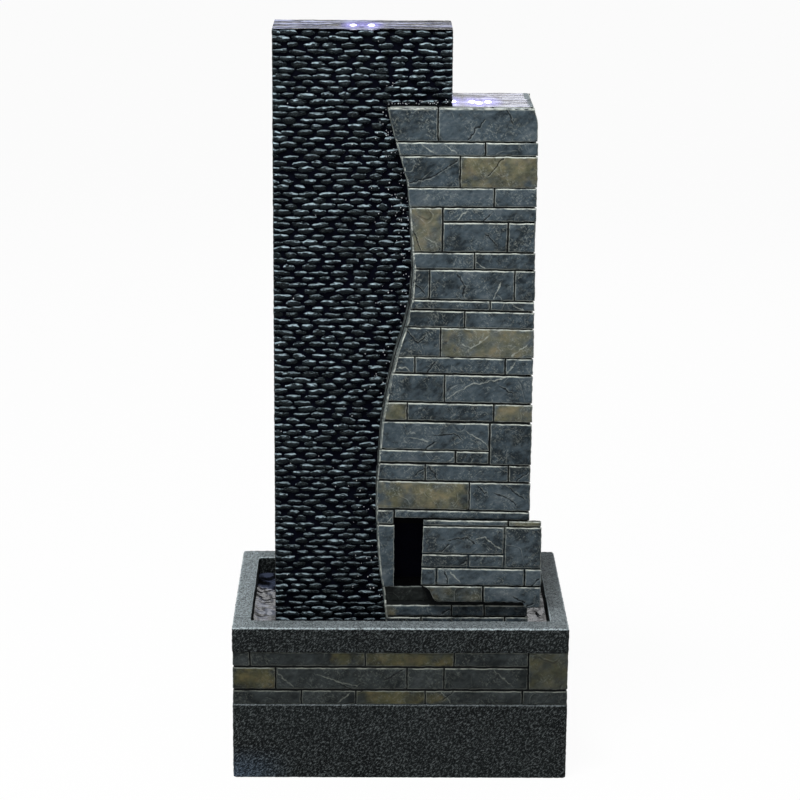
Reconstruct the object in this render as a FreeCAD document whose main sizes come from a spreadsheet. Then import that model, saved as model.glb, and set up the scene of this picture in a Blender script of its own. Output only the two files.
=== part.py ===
import FreeCAD, Part
import math
import os
import re
import Sketcher
from FreeCAD import Vector

# Two-column garden fountain of cast resin: a stone-banded basin, a tall pebble-faced column
# with a lower slate-faced column in front of it, lit water outlets on both tops, and a pump
# behind a sliding stone panel.
# Frame: origin on the ground under the middle of the basin, +Z up, the face side looks to -Y.

doc = FreeCAD.newDocument("fountain")
sheet = doc.addObject("Spreadsheet::Sheet", "sizes")

SIZES = {
    # Basin: a double-walled resin tub with a recessed band of stone courses
    "basin_width": 400, "basin_depth": 280, "basin_height": 192,
    "rim_side": 21, "rim_front": 26, "resin_wall": 5.5, "well_floor": 24, "rim_round": 2.5,
    "band_bottom": 94, "band_top": 161, "band_recess": 4, "band_bed": 1.5, "band_relief": 2,
    # Tall pebble column: its sides from the centre line, its front and back from the middle
    "tall_left": 151, "tall_right": 55, "tall_front": 56, "tall_back": 22, "tall_height": 889,
    "tray_depth": 10, "tray_plate": 8, "tray_rim": 6, "weir_drop": 2, "weir_width": 190,
    "pebble_bed": 2, "pebble_bulge": 3, "pebble_row": 7.2,
    # Slate column: an S-curved front slab on a box that stands beside the tall column
    "slate_right": 153, "slate_front": 85, "slate_back": 29, "slate_height": 803,
    "slab_gap": 0.3, "facing_bed": 3, "stone_relief": 3, "joint_width": 2.2, "stone_taper": 0.8,
    "slate_rim": 9, "well_depth": 12, "spill_depth": 5, "spill_rim": 4,
    "curve_top": -20, "curve_bulge": 10, "curve_waist": -30, "curve_foot": -17.5,
    "bulge_level": 618, "waist_level": 338, "curve_foot_level": 182, "curve_bevel": 4,
    # Doorway to the pump and the stone panel that slides in front of it
    "doorway_left": -8, "doorway_right": 135, "doorway_bottom": 224, "doorway_top": 311,
    "sill_bottom": 205, "sill_relief": 2, "door_gap": 0.4, "door_left": 25, "door_width": 143,
    "door_height": 104, "door_bed": 6.6, "notch_width": 19, "notch_height": 20, "notch_round": 11,
    "door_over_sill": 17,
    "rail_wall": 1.5, "rail_depth": 9, "rail_height": 8, "guide_width": 30, "guide_gap": 0.4,
    "guide_reach": 14, "screw_size": 3, "screw_head": 6, "screw_grip": 5,
    # Foot arches and the passage between the two columns
    "arch_width": 56, "arch_height": 30, "passage_back": 12,
    # Water outlets and the light rings round them
    "tall_outlet": -48.5, "slate_outlet": 89.5, "outlet_line": 20,
    "nozzle_outer": 12, "nozzle_bore": 8, "nozzle_rise": 9, "barb_outer": 9.9, "barb_length": 20,
    "nut_across": 22, "nut_height": 6,
    "light_outer": 40, "light_inner": 15, "light_height": 6, "light_wall": 1.6, "lens_thick": 1.6,
    "led_circle": 27, "led_size": 5, "led_height": 1.8,
    "lead_size": 3.2, "lead_across": 6, "lead_back": 13, "lead_bend": 24,
    # Hoses and the tee over the pump
    "hose_bore": 10, "hose_wall": 2, "hose_bend": 60, "tee_level": 112, "tee_barrel": 16,
    "tee_half": 11, "clamp_width": 7, "clamp_thick": 1.2, "slip_gap": 0.05,
    # Pump
    "pump_width": 48, "pump_height": 44, "motor_length": 48, "cover_length": 16, "pump_wall": 2,
    "cup_height": 8, "cup_size": 15, "chamber_size": 31, "chamber_length": 22,
    "rotor_size": 14, "rotor_length": 24, "rotor_gap": 0.6, "blade_size": 26, "blade_length": 8,
    "shaft_size": 3, "shaft_gap": 0.05, "bush_outer": 6, "bush_length": 4, "pump_front": 50,
    "grille_slot": 2.6, "regulator_travel": 12, "regulator_width": 18,
    # Cable splice and the outlet in the back wall
    "splice_width": 48, "splice_depth": 12, "splice_height": 16, "splice_level": 184,
    "grommet_line": 120, "grommet_level": 218, "grommet_hole": 12, "grommet_bore": 6.5,
    "grommet_lip": 2, "grommet_flange": 17,
}
for row, (alias, value) in enumerate(SIZES.items(), start=1):
    sheet.set("A%d" % row, alias)
    sheet.set("B%d" % row, str(value))
    sheet.setAlias("B%d" % row, alias)
doc.recompute()


def size(alias):
    return float(sheet.get(alias))


def cell(formula):
    # A formula written in plain size names, turned into one that reads the sheet.
    return re.sub("[a-z_]+", lambda m: "sizes." + m[0] if m[0] in SIZES else m[0], formula)


NODES = []


def node(thing, label):
    thing.Label = label
    NODES.append(thing)
    return thing


# Part primitives whose sizes and places are bound to the sheet

def place(thing, x, y, z):
    for axis, formula in (("x", x), ("y", y), ("z", z)):
        thing.setExpression("Placement.Base." + axis, cell(formula))
    return thing


def block(name, corner, extent):
    box = doc.addObject("Part::Box", name)
    for prop, formula in zip(("Length", "Width", "Height"), extent):
        box.setExpression(prop, cell(formula))
    return place(box, *corner)


TURN = {"z": FreeCAD.Rotation(), "y": FreeCAD.Rotation(Vector(1, 0, 0), -90),
        "x": FreeCAD.Rotation(Vector(0, 1, 0), 90)}


def rod(name, foot, radius, length, along="z"):
    cylinder = doc.addObject("Part::Cylinder", name)
    cylinder.Placement = FreeCAD.Placement(Vector(), TURN[along])
    cylinder.setExpression("Radius", cell(radius))
    cylinder.setExpression("Height", cell(length))
    return place(cylinder, *foot)


def cone(name, foot, low, high, length):
    thing = doc.addObject("Part::Cone", name)
    thing.setExpression("Radius1", cell(low))
    thing.setExpression("Radius2", cell(high))
    thing.setExpression("Height", cell(length))
    return place(thing, *foot)


def hexagon(name, foot, across, length, along="z"):
    prism = doc.addObject("Part::Prism", name)
    prism.Polygon = 6
    prism.Placement = FreeCAD.Placement(Vector(), TURN[along])
    prism.setExpression("Circumradius", cell(across))
    prism.setExpression("Height", cell(length))
    return place(prism, *foot)


def joined(name, things):
    fusion = doc.addObject("Part::MultiFuse", name)
    fusion.Shapes = things
    fusion.Refine = True
    return fusion


def cut(name, base, tools):
    tool = tools[0] if len(tools) == 1 else joined(name + "_tools", tools)
    result = doc.addObject("Part::Cut", name)
    result.Base = base
    result.Tool = tool
    return result


def group(name, things):
    compound = doc.addObject("Part::Compound", name)
    compound.Links = things
    return compound


def tube(name, foot, outer, bore, length, along="z"):
    shell = rod(name + "_outer", foot, outer, length, along)
    return cut(name, shell, [rod(name + "_bore", foot, bore, length, along)])


def feature(label, shape):
    thing = doc.addObject("Part::Feature", label)
    thing.Shape = shape
    thing.Placement = FreeCAD.Placement()
    return node(thing, label)


# PartDesign bodies and the sketches in them

def body(label):
    return node(doc.addObject("PartDesign::Body", label), label)


def sketch(solid, role, name, height="0"):
    plane = [item for item in solid.Origin.OriginFeatures if item.Role == role][0]
    drawing = solid.newObject("Sketcher::SketchObject", name)
    drawing.AttachmentSupport = [(plane, "")]
    drawing.MapMode = "FlatFace"
    if height != "0":
        drawing.setExpression("AttachmentOffset.Base.z", cell(height))
    return drawing


def polygon(drawing, corners):
    # Straight outline whose every corner is dimensioned from the sketch origin.
    first = drawing.GeometryCount
    count = len(corners)
    angle = [2 * math.pi * k / count for k in range(count)]
    spots = [Vector(100 * math.cos(a), 100 * math.sin(a), 0) for a in angle]
    for k in range(count):
        drawing.addGeometry(Part.LineSegment(spots[k], spots[(k + 1) % count]), False)
    for k in range(count):
        drawing.addConstraint(Sketcher.Constraint("Coincident", first + k, 2,
                                                  first + (k + 1) % count, 1))
    for k, corner in enumerate(corners):
        for kind, formula in zip(("DistanceX", "DistanceY"), corner):
            index = drawing.addConstraint(Sketcher.Constraint(kind, -1, 1, first + k, 1, 1.0))
            drawing.setExpression("Constraints[%d]" % index, cell(formula))


def rectangle(drawing, left, low, right, high):
    polygon(drawing, [(left, low), (right, low), (right, high), (left, high)])


def circle(drawing, across, up, radius):
    first = drawing.addGeometry(Part.Circle(Vector(1, 1, 0), Vector(0, 0, 1), 5), False)
    for kind, formula in (("DistanceX", across), ("DistanceY", up)):
        index = drawing.addConstraint(Sketcher.Constraint(kind, -1, 1, first, 3, 1.0))
        drawing.setExpression("Constraints[%d]" % index, cell(formula))
    index = drawing.addConstraint(Sketcher.Constraint("Radius", first, 5.0))
    drawing.setExpression("Constraints[%d]" % index, cell(radius))


def pad(solid, drawing, length, backward=False):
    step = solid.newObject("PartDesign::Pad", drawing.Name + "_pad")
    step.Profile = drawing
    step.setExpression("Length", cell(length))
    step.Reversed = backward
    doc.recompute()
    return step


def pocket(solid, drawing, length, backward=False):
    before = solid.Shape.Volume
    step = solid.newObject("PartDesign::Pocket", drawing.Name + "_pocket")
    step.Profile = drawing
    step.setExpression("Length", cell(length))
    step.Reversed = backward
    doc.recompute()
    if solid.Shape.Volume >= before:
        raise RuntimeError("the pocket %s cuts nothing" % step.Name)
    return step


def round_edges(solid, name, edges, radius):
    last = solid.Tip
    step = solid.newObject("PartDesign::Fillet", name)
    step.Base = (last, edges)
    step.setExpression("Radius", cell(radius))
    doc.recompute()
    return step


# Stone courses: each block is a shallow box with sloped sides, standing on a mortar bed

def stone(left, low, right, high, bed, relief, taper):
    return Part.makeWedge(left + taper, bed - relief, low + taper, low, left,
                          right - taper, bed, high - taper, high, right)


def course_stones(courses, left, right, bed, relief, joint, taper):
    # courses: (low, high, joint places); the blocks fill each course from left to right.
    stones = []
    for low, high, joints in courses:
        inside = [j for j in joints if left + joint < j < right - joint]
        edges = [left - joint / 2] + inside + [right + joint / 2]
        for start, end in zip(edges, edges[1:]):
            stones.append(stone(start + joint / 2, low, end - joint / 2, high,
                                bed, relief, taper))
    return stones


def turned(shape, degrees):
    copy = shape.copy()
    copy.rotate(Vector(0, 0, 0), Vector(0, 0, 1), degrees)
    return copy


def slab(left, front, low, right, back, high):
    return Part.makeBox(right - left, back - front, high - low, Vector(left, front, low))


# Basin: outer tub, water well, hollow between its two walls, and the recess for the stone band
basin = body("basin")
outline = sketch(basin, "XY_Plane", "basin_outline")
rectangle(outline, "-basin_width / 2", "-basin_depth / 2", "basin_width / 2", "basin_depth / 2")
pad(basin, outline, "basin_height")
well = sketch(basin, "XY_Plane", "basin_well", "basin_height")
rectangle(well, "-basin_width / 2 + rim_side", "-basin_depth / 2 + rim_front",
          "basin_width / 2 - rim_side", "basin_depth / 2 - rim_front")
pocket(basin, well, "basin_height - well_floor")

# The rim's edges and the four outer corners are eased


def basin_edges():
    wide, deep = size("basin_width") / 2, size("basin_depth") / 2
    top = size("basin_height")
    picked = []
    for number, edge in enumerate(basin.Shape.Edges, start=1):
        box = edge.BoundBox
        on_rim = box.ZMin > top - 0.01
        upright = box.ZLength > 1 and abs(abs(box.XMin) - wide) < 0.01
        upright = upright and abs(abs(box.YMin) - deep) < 0.01 and box.YLength < 0.01
        if on_rim or upright:
            picked.append("Edge%d" % number)
    return picked


round_edges(basin, "basin_eased", basin_edges(), "rim_round")

under = sketch(basin, "XY_Plane", "basin_underside")
rectangle(under, "-basin_width / 2 + resin_wall", "-basin_depth / 2 + resin_wall",
          "basin_width / 2 - resin_wall", "basin_depth / 2 - resin_wall")
pocket(basin, under, "well_floor - resin_wall", True)
hollow = sketch(basin, "XY_Plane", "basin_hollow_wall")
rectangle(hollow, "-basin_width / 2 + resin_wall", "-basin_depth / 2 + resin_wall",
          "basin_width / 2 - resin_wall", "basin_depth / 2 - resin_wall")
rectangle(hollow, "-basin_width / 2 + rim_side - resin_wall",
          "-basin_depth / 2 + rim_front - resin_wall",
          "basin_width / 2 - rim_side + resin_wall", "basin_depth / 2 - rim_front + resin_wall")
pocket(basin, hollow, "basin_height - resin_wall", True)
band = sketch(basin, "XY_Plane", "basin_band", "band_bottom")
polygon(band, [("-basin_width / 2 - resin_wall", "-basin_depth / 2 - resin_wall"),
               ("basin_width / 2 + resin_wall", "-basin_depth / 2 - resin_wall"),
               ("basin_width / 2 + resin_wall", "basin_depth / 2 - rim_front"),
               ("basin_width / 2 - band_recess", "basin_depth / 2 - rim_front"),
               ("basin_width / 2 - band_recess", "-basin_depth / 2 + band_recess"),
               ("-basin_width / 2 + band_recess", "-basin_depth / 2 + band_recess"),
               ("-basin_width / 2 + band_recess", "basin_depth / 2 - rim_front"),
               ("-basin_width / 2 - resin_wall", "basin_depth / 2 - rim_front")])
pocket(basin, band, "band_top - band_bottom", True)
# Stone band: three courses on a thin bed, round the front and both sides of the basin
joint, taper = size("joint_width"), size("stone_taper")
low, high = size("band_bottom"), size("band_top")
rise = high - low - 3 * joint
COURSE_SHARES = (0.275, 0.45, 0.275)
levels = []
floor = low + joint / 2
for share in COURSE_SHARES:
    levels.append((floor, floor + rise * share))
    floor += rise * share + joint
front_joints = ((-118, -53, 30, 146), (-148, 8, 52), (-179, -42, 64))
side_joints = ((-70, 22), (-96, -8, 78), (-38, 60))
half_width = size("basin_width") / 2 - size("band_recess")
half_depth = size("basin_depth") / 2 - size("band_recess")
bed, relief = size("band_bed"), size("band_relief")
corner_stone = 153
band_back = size("basin_depth") / 2 - size("rim_front")
front = [(a, b, joints) for (a, b), joints in zip(levels, front_joints)]
pieces = [slab(-half_width - bed, -half_depth - bed, low, half_width + bed, -half_depth, high)]
for side in (-1, 1):
    inner, outer = sorted((side * half_width, side * (half_width + bed)))
    pieces.append(slab(inner, -half_depth, low, outer, band_back, high))
right_end = half_width + bed + relief
pieces += course_stones(front[:1], -right_end, right_end, -half_depth - bed, relief, joint, taper)
pieces += course_stones(front[1:], -right_end, corner_stone - joint / 2, -half_depth - bed,
                        relief, joint, taper)
pieces.append(stone(corner_stone + joint / 2, levels[1][0], right_end, levels[2][1],
                    -half_depth - bed, relief, taper))
sides = [(a, b, joints) for (a, b), joints in zip(levels, side_joints)]
for turn in (90, -90):
    start, end = -half_depth - bed, band_back
    span = (start, end) if turn == 90 else (-end, -start)
    for rock in course_stones(sides, *span, -half_width - bed, relief, joint, taper):
        pieces.append(turned(rock, turn))
feature("basin_stone_band", pieces[0].multiFuse(pieces[1:]).removeSplitter())

# Tall column: a hollow casting with a tray and a spill lip on top, open at the foot
tall = body("tall_column")
outline = sketch(tall, "XY_Plane", "tall_outline", "well_floor")
rectangle(outline, "-tall_left", "-tall_front", "tall_right", "tall_back")
pad(tall, outline, "tall_height - well_floor")
hollow = sketch(tall, "XY_Plane", "tall_hollow", "well_floor")
rectangle(hollow, "-tall_left + resin_wall", "-tall_front + resin_wall",
          "tall_right - resin_wall", "tall_back - resin_wall")
pocket(tall, hollow, "tall_height - tray_depth - tray_plate - well_floor", True)
tray = sketch(tall, "XY_Plane", "tall_tray", "tall_height")
rectangle(tray, "-tall_left + tray_rim", "-tall_front + tray_rim",
          "tall_right - tray_rim", "tall_back - tray_rim")
pocket(tall, tray, "tray_depth")
weir = sketch(tall, "XY_Plane", "tall_weir", "tall_height")
rectangle(weir, "(tall_right - tall_left - weir_width) / 2", "-tall_front - resin_wall",
          "(tall_right - tall_left + weir_width) / 2", "-tall_front + tray_rim + 0.5")
pocket(tall, weir, "weir_drop")
doorway = sketch(tall, "XZ_Plane", "tall_doorway", "tall_front + resin_wall")
rectangle(doorway, "doorway_left", "doorway_bottom", "tall_right + resin_wall", "doorway_top")
pocket(tall, doorway, "2 * resin_wall")
passage = sketch(tall, "YZ_Plane", "tall_passage", "tall_right + resin_wall")
rectangle(passage, "-tall_front + resin_wall", "well_floor + arch_height + resin_wall",
          "passage_back", "doorway_top")
pocket(tall, passage, "3 * resin_wall")
foot_arch = sketch(tall, "XZ_Plane", "tall_foot_arch", "-tall_back - resin_wall")
rectangle(foot_arch, "tall_outlet - arch_width / 2", "well_floor - resin_wall",
          "tall_outlet + arch_width / 2", "well_floor + arch_height")
pocket(tall, foot_arch, "3 * resin_wall", True)
holes = sketch(tall, "XY_Plane", "tall_holes", "tall_height")
circle(holes, "tall_outlet", "-outlet_line", "nozzle_outer / 2 + slip_gap")
pocket(tall, holes, "tray_depth + tray_plate + resin_wall")
lead_hole = sketch(tall, "XY_Plane", "tall_lead_hole", "tall_height")
circle(lead_hole, "tall_outlet + lead_across", "-outlet_line + lead_back",
       "lead_size / 2 + slip_gap")
pocket(tall, lead_hole, "tray_depth + tray_plate + resin_wall")

# Pebble facing: one panel whose rows of flat pebbles run right across the tall column
bed, bulge, pitch = size("pebble_bed"), size("pebble_bulge"), size("pebble_row")
foot, top = size("well_floor"), size("tall_height") - size("weir_drop")
face = -size("tall_front")
rows = int((top - foot) / pitch)
pitch = (top - foot) / rows
profile = [Vector(0, face, foot)]
LENS = ((0.0, 0.15), (0.3, 0.95), (0.7, 0.95))
for row in range(rows):
    for along, height in LENS:
        profile.append(Vector(0, face - bed - bulge * height, foot + (row + along) * pitch))
profile.append(Vector(0, face - bed, top))
profile.append(Vector(0, face, top))
profile.append(profile[0])
panel = Part.Face(Part.makePolygon(profile))
panel = panel.extrude(Vector(size("tall_left") + size("tall_right"), 0, 0))
panel.translate(Vector(-size("tall_left"), 0, 0))
panel = panel.cut(slab(size("doorway_left"), face - 20, size("doorway_bottom"),
                       size("tall_right") + 1, face + 1, size("doorway_top")))
feature("pebble_facing", panel)

# Slate column: the S-curved slab, and behind its right half a hollow box
# The curve's way from one turning point to the next: share of the drop, share of the sweep
TO_BULGE = ((0.215, 0.337), (0.475, 0.787))
TO_WAIST = ((0.243, 0.19), (0.423, 0.555), (0.676, 0.885))
TO_FOOT = ((0.4, 0.18), (0.7, 0.56))


def s_curve(shift, level_top, level_foot):
    # Left edge of the slate column as one smooth line from the top down to the foot.
    turns = ((size("curve_top"), level_top), (size("curve_bulge"), size("bulge_level")),
             (size("curve_waist"), size("waist_level")),
             (size("curve_foot"), size("curve_foot_level")))
    points = [Vector(turns[0][0] + shift, 0, turns[0][1])]
    for (x0, z0), (x1, z1), shares in zip(turns, turns[1:], (TO_BULGE, TO_WAIST, TO_FOOT)):
        for drop, sweep in shares + ((1, 1),):
            points.append(Vector(x0 + (x1 - x0) * sweep + shift, 0, z0 + (z1 - z0) * drop))
    path = Part.BSplineCurve()
    path.interpolate(Points=points)
    return [path.toShape(), Part.makeLine(points[-1], Vector(points[-1].x, 0, level_foot))]


def s_prism(shift, right, front, back, level_foot, level_top):
    edges = s_curve(shift, level_top, level_foot)
    corner = edges[1].Vertexes[1].Point
    start = edges[0].valueAt(edges[0].FirstParameter)
    edges.append(Part.makeLine(corner, Vector(right, 0, level_foot)))
    edges.append(Part.makeLine(Vector(right, 0, level_foot), Vector(right, 0, level_top)))
    edges.append(Part.makeLine(Vector(right, 0, level_top), start))
    face = Part.Face(Part.Wire(Part.__sortEdges__(edges)))
    solid = face.extrude(Vector(0, back - front, 0))
    solid.translate(Vector(0, front, 0))
    return solid


wall = size("resin_wall")
facing = size("facing_bed") + size("stone_relief")
shell_front = -size("slate_front") + facing
shell_right = size("slate_right") - facing
slab_back = -size("tall_front") - size("pebble_bed") - size("pebble_bulge") - size("slab_gap")
foot, top = size("well_floor"), size("slate_height")
back, join = size("slate_back"), size("tall_right")
left_in, right_in = join + wall, shell_right - wall
well_floor_level = top - size("well_depth")
roof = well_floor_level - size("tray_plate")
slate = s_prism(0, shell_right, shell_front, slab_back, foot, top)
slate = slate.fuse(slab(join, slab_back, foot, shell_right, back, top))
door_low, door_high = size("doorway_bottom"), size("doorway_top")
door_left, door_right = size("doorway_left"), size("doorway_right")
rim = size("slate_rim")
outlet_x, outlet_y = size("slate_outlet"), -size("outlet_line")
arch_low = foot + size("arch_height") + wall
slate_cuts = [
    slab(left_in, shell_front + wall, foot - 1, right_in, back - wall, roof),
    slab(door_left, shell_front - 1, door_low, door_right, slab_back + 1, door_high),
    slab(join - 1, slab_back, door_low, left_in + 1, size("passage_back"), door_high),
    slab(join - 1, -size("tall_front") + wall, arch_low, left_in + 1, size("passage_back"), door_high),
    slab(left_in - 1, shell_front + size("spill_rim"), well_floor_level, shell_right - rim,
         back - rim, top + 1),
    slab(size("curve_top") - 10, shell_front + size("spill_rim"), top - size("spill_depth"),
         left_in, slab_back - size("spill_rim"), top + 1),
    slab(outlet_x - size("arch_width") / 4, back - wall - 1, foot - 1,
         outlet_x + size("arch_width") / 4, back + 1, foot + size("arch_height")),
    Part.makeCylinder(size("nozzle_outer") / 2 + size("slip_gap"), 60,
                      Vector(outlet_x, outlet_y, roof - 30)),
    Part.makeCylinder(size("lead_size") / 2 + size("slip_gap"), 60,
                      Vector(outlet_x + size("lead_across"),
                             outlet_y + size("lead_back"), roof - 30)),
    Part.makeCylinder(size("grommet_hole") / 2, 3 * wall,
                      Vector(size("grommet_line"), back - 2 * wall, size("grommet_level")),
                      Vector(0, 1, 0)),
]
for tool in slate_cuts:
    slate = slate.cut(tool)
feature("slate_column", slate.removeSplitter())

# Slate facing: courses of split stone on the front and on the right side of the column
relief = size("stone_relief")
bed_front, bed_right = shell_front - size("facing_bed"), shell_right + size("facing_bed")
right_end = bed_right + relief
# From the top down: share of the height, and the joint places. The two courses without a joint
# hold a block that spans two thinner courses; the last one is the lintel.
SLATE_COURSES = ((38.5, (39,)), (14.5, (93.5,)), (35.5, (65,)), (21, (104.5,)),
                 (51, ()), (18, (83,)), (34, (31, 130)), (10, (102,)), (19, (72.5,)),
                 (34, (44.5,)), (18.5, (15, 121)), (32.5, (50,)), (20.5, (6, 108.5)),
                 (49.5, ()), (19, (28.5, 127)), (33.5, (81,)), (9, ()))
joints_total = joint * (len(SLATE_COURSES) - 1)
unit = (top - door_high - joint - joints_total) / sum(share for share, _ in SLATE_COURSES)
courses = []
split = []
level = top
for number, (share, joints) in enumerate(SLATE_COURSES):
    high_edge, low_edge = level, level - share * unit
    if joints or share == 9:
        courses.append((low_edge, high_edge, joints))
    else:
        split.append((low_edge, high_edge))
    level = low_edge - joint
strip_top = size("sill_bottom") - joint
STRIP_COURSES = ((15.5, (-10, 61.5, 101)), (26, (25, 126)), (34, (70,)), (30, (-2, 96)))
level = strip_top
for height, joints in STRIP_COURSES:
    courses.append((level - height, level, joints))
    level -= height + joint
courses.append((foot, level, ()))
left_end = size("curve_waist") - 20
rocks = course_stones(courses, left_end, right_end, bed_front, relief, joint, taper)
(low_a, high_a), (low_b, high_b) = split
SPLIT_A, SPLIT_B, SPLIT_C = 45.5, 121, 104
thin = high_a - 15
rocks += course_stones([(low_a, high_a, ())], left_end, SPLIT_A - joint / 2, bed_front,
                       relief, joint, taper)
rocks += course_stones([(thin, high_a, ()), (low_a, thin - joint, (SPLIT_B,))],
                       SPLIT_A + joint / 2, right_end, bed_front, relief, joint, taper)
thin = low_b + 14
rocks += course_stones([(thin + joint, high_b, ()), (low_b, thin, (64,))], left_end,
                       SPLIT_C - joint / 2, bed_front, relief, joint, taper)
rocks += course_stones([(low_b, high_b, ())], SPLIT_C + joint / 2, right_end, bed_front,
                       relief, joint, taper)
rocks.append(stone(left_end, door_low + joint, door_left, door_high - joint, bed_front,
                   relief, taper))
bevelled = s_prism(size("curve_bevel"), right_end, bed_front - relief, bed_front + 0.5, foot, top)
rocks = Part.makeCompound(rocks).common(bevelled)
bed_slab = s_prism(0, bed_right, bed_front, shell_front, foot, top)
side_bed = slab(shell_right, shell_front, foot, bed_right, back, top)
side_courses = []
for number, (low_edge, high_edge, joints) in enumerate(courses + [s + ((),) for s in split]):
    place_a = shell_front + 22 + 61 * ((number * 0.37) % 1)
    side_courses.append((low_edge, high_edge, (place_a,)))
span_level = door_low - joint
for height in (28, 34, 22):
    side_courses.append((span_level, span_level + height, (shell_front + 30 + height,)))
    span_level += height + joint
side_rocks = [turned(rock, 90) for rock in course_stones(
    side_courses, bed_front, back, -bed_right, relief, joint, taper)]
facing_solid = bed_slab.fuse([side_bed] + rocks.Solids + side_rocks)
# The panel's track: a rebate from the left jamb right through to the column's side
facing_solid = facing_solid.cut(slab(door_left, bed_front - relief - 1, size("sill_bottom"),
                                     right_end + 1, shell_front, door_high))
facing_solid = facing_solid.cut(slab(left_end, bed_front - relief - 1, size("sill_bottom"),
                                     door_left + 1, shell_front, door_low))
sill = s_prism(0, bed_right, shell_front - size("sill_relief"), shell_front, foot, top).common(
    slab(left_end, -200, size("sill_bottom"), right_end, 200, door_low))
feature("slate_facing", facing_solid.fuse(sill).removeSplitter())

# Sliding stone panel in front of the doorway, notched at its lower left corner
panel_left, panel_right = size("door_left"), size("door_left") + size("door_width")
panel_low = door_low - size("door_over_sill")
panel_high = panel_low + size("door_height")
panel_back = shell_front - size("sill_relief") - size("door_gap")
panel_bed = panel_back - size("door_bed")
PANEL_COURSES = ((20, (99,)), (20, (43, 148.5)))
door_courses = []
level = panel_low
for height, joints in PANEL_COURSES:
    door_courses.append((level, level + height, joints))
    level += height + joint
thin_top = level + 14
row_top = panel_high - 7 - joint
BIG_STONE = 125
door_rocks = course_stones(door_courses, panel_left, panel_right, panel_bed, relief, joint, taper)
door_rocks += course_stones([(level, thin_top, (81,)), (thin_top + joint, row_top, ())],
                            panel_left, BIG_STONE - joint / 2, panel_bed, relief, joint, taper)
door_rocks += course_stones([(level, row_top, ())], BIG_STONE + joint / 2, panel_right,
                            panel_bed, relief, joint, taper)
door_rocks += course_stones([(row_top + joint, panel_high, (128,))], panel_left, panel_right,
                            panel_bed, relief, joint, taper)
door_plate = slab(panel_left, panel_bed, panel_low, panel_right, panel_back, panel_high)
notch_right, notch_high = panel_left + size("notch_width"), panel_low + size("notch_height")
notch = slab(panel_left - 1, panel_bed - relief - 1, panel_low - 1, notch_right, panel_back + 1,
             notch_high)
inner_corner = [e for e in notch.Edges if e.BoundBox.XMin > notch_right - 0.01
                and e.BoundBox.ZMin > notch_high - 0.01]
door = door_plate.fuse(door_rocks).cut(notch.makeFillet(size("notch_round"), inner_corner))
# Door guides: two hooked blocks behind the panel that run in the rails
rail_wall, rail_height, rail_depth = size("rail_wall"), size("rail_height"), size("rail_depth")
rail_front, gap = shell_front, size("guide_gap")
guide_left = panel_left + 2
guide_right = guide_left + size("guide_width")
neck_back = rail_front + rail_depth - rail_wall - gap
tongue_front = rail_front + rail_wall + gap
reach = size("guide_reach")
guides, screws = [], []
for high_side in (True, False):
    if high_side:
        tongue = (door_high - rail_height, door_high - rail_wall - gap)
        neck = (tongue[0] - gap - reach, tongue[0] - gap)
    else:
        tongue = (door_low + rail_wall + gap, door_low + rail_height)
        neck = (tongue[1] + gap, tongue[1] + gap + reach)
    low_edge, high_edge = min(tongue[0], neck[0]), max(tongue[1], neck[1])
    hook = slab(guide_left, tongue_front, low_edge, guide_right, neck_back, high_edge)
    hook = hook.fuse(slab(guide_left, panel_back, neck[0], guide_right, neck_back, neck[1]))
    middle = (neck[0] + neck[1]) / 2
    for spot in (guide_left + 7, guide_right - 7):
        hole = Part.makeCylinder(size("screw_size") / 2 + size("slip_gap"), 40,
                                 Vector(spot, neck_back + 1, middle), Vector(0, -1, 0))
        hook = hook.cut(hole)
        grip = size("screw_grip")
        bore = Part.makeCylinder(size("screw_size") / 2 + size("slip_gap"), grip + 0.5,
                                 Vector(spot, panel_back, middle), Vector(0, -1, 0))
        door = door.cut(bore)
        shank = Part.makeCylinder(size("screw_size") / 2, neck_back - panel_back + grip,
                                  Vector(spot, neck_back, middle), Vector(0, -1, 0))
        corners = [Vector(spot + size("screw_head") / 2 * math.cos(k * math.pi / 3), neck_back,
                          middle + size("screw_head") / 2 * math.sin(k * math.pi / 3))
                   for k in range(7)]
        head = Part.Face(Part.makePolygon(corners)).extrude(Vector(0, 2, 0))
        screws.append(shank.fuse(head))
    guides.append(hook)
feature("access_panel", door.removeSplitter())
feature("panel_guides", Part.makeCompound(guides))
feature("guide_screws", Part.makeCompound(screws))

# Rails: two channels that line the doorway's head and sill and hold the guides
rails = []
for low_edge, open_low in ((door_high - rail_height, True), (door_low, False)):
    channel = slab(door_left, rail_front, low_edge, door_right, rail_front + rail_depth,
                   low_edge + rail_height)
    start = low_edge - 1 if open_low else low_edge + rail_wall
    end = low_edge + rail_height - rail_wall if open_low else low_edge + rail_height + 1
    channel = channel.cut(slab(door_left - 1, rail_front + rail_wall, start, door_right + 1,
                               rail_front + rail_depth - rail_wall, end))
    rails.append(channel)
feature("door_rails", Part.makeCompound(rails))

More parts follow.
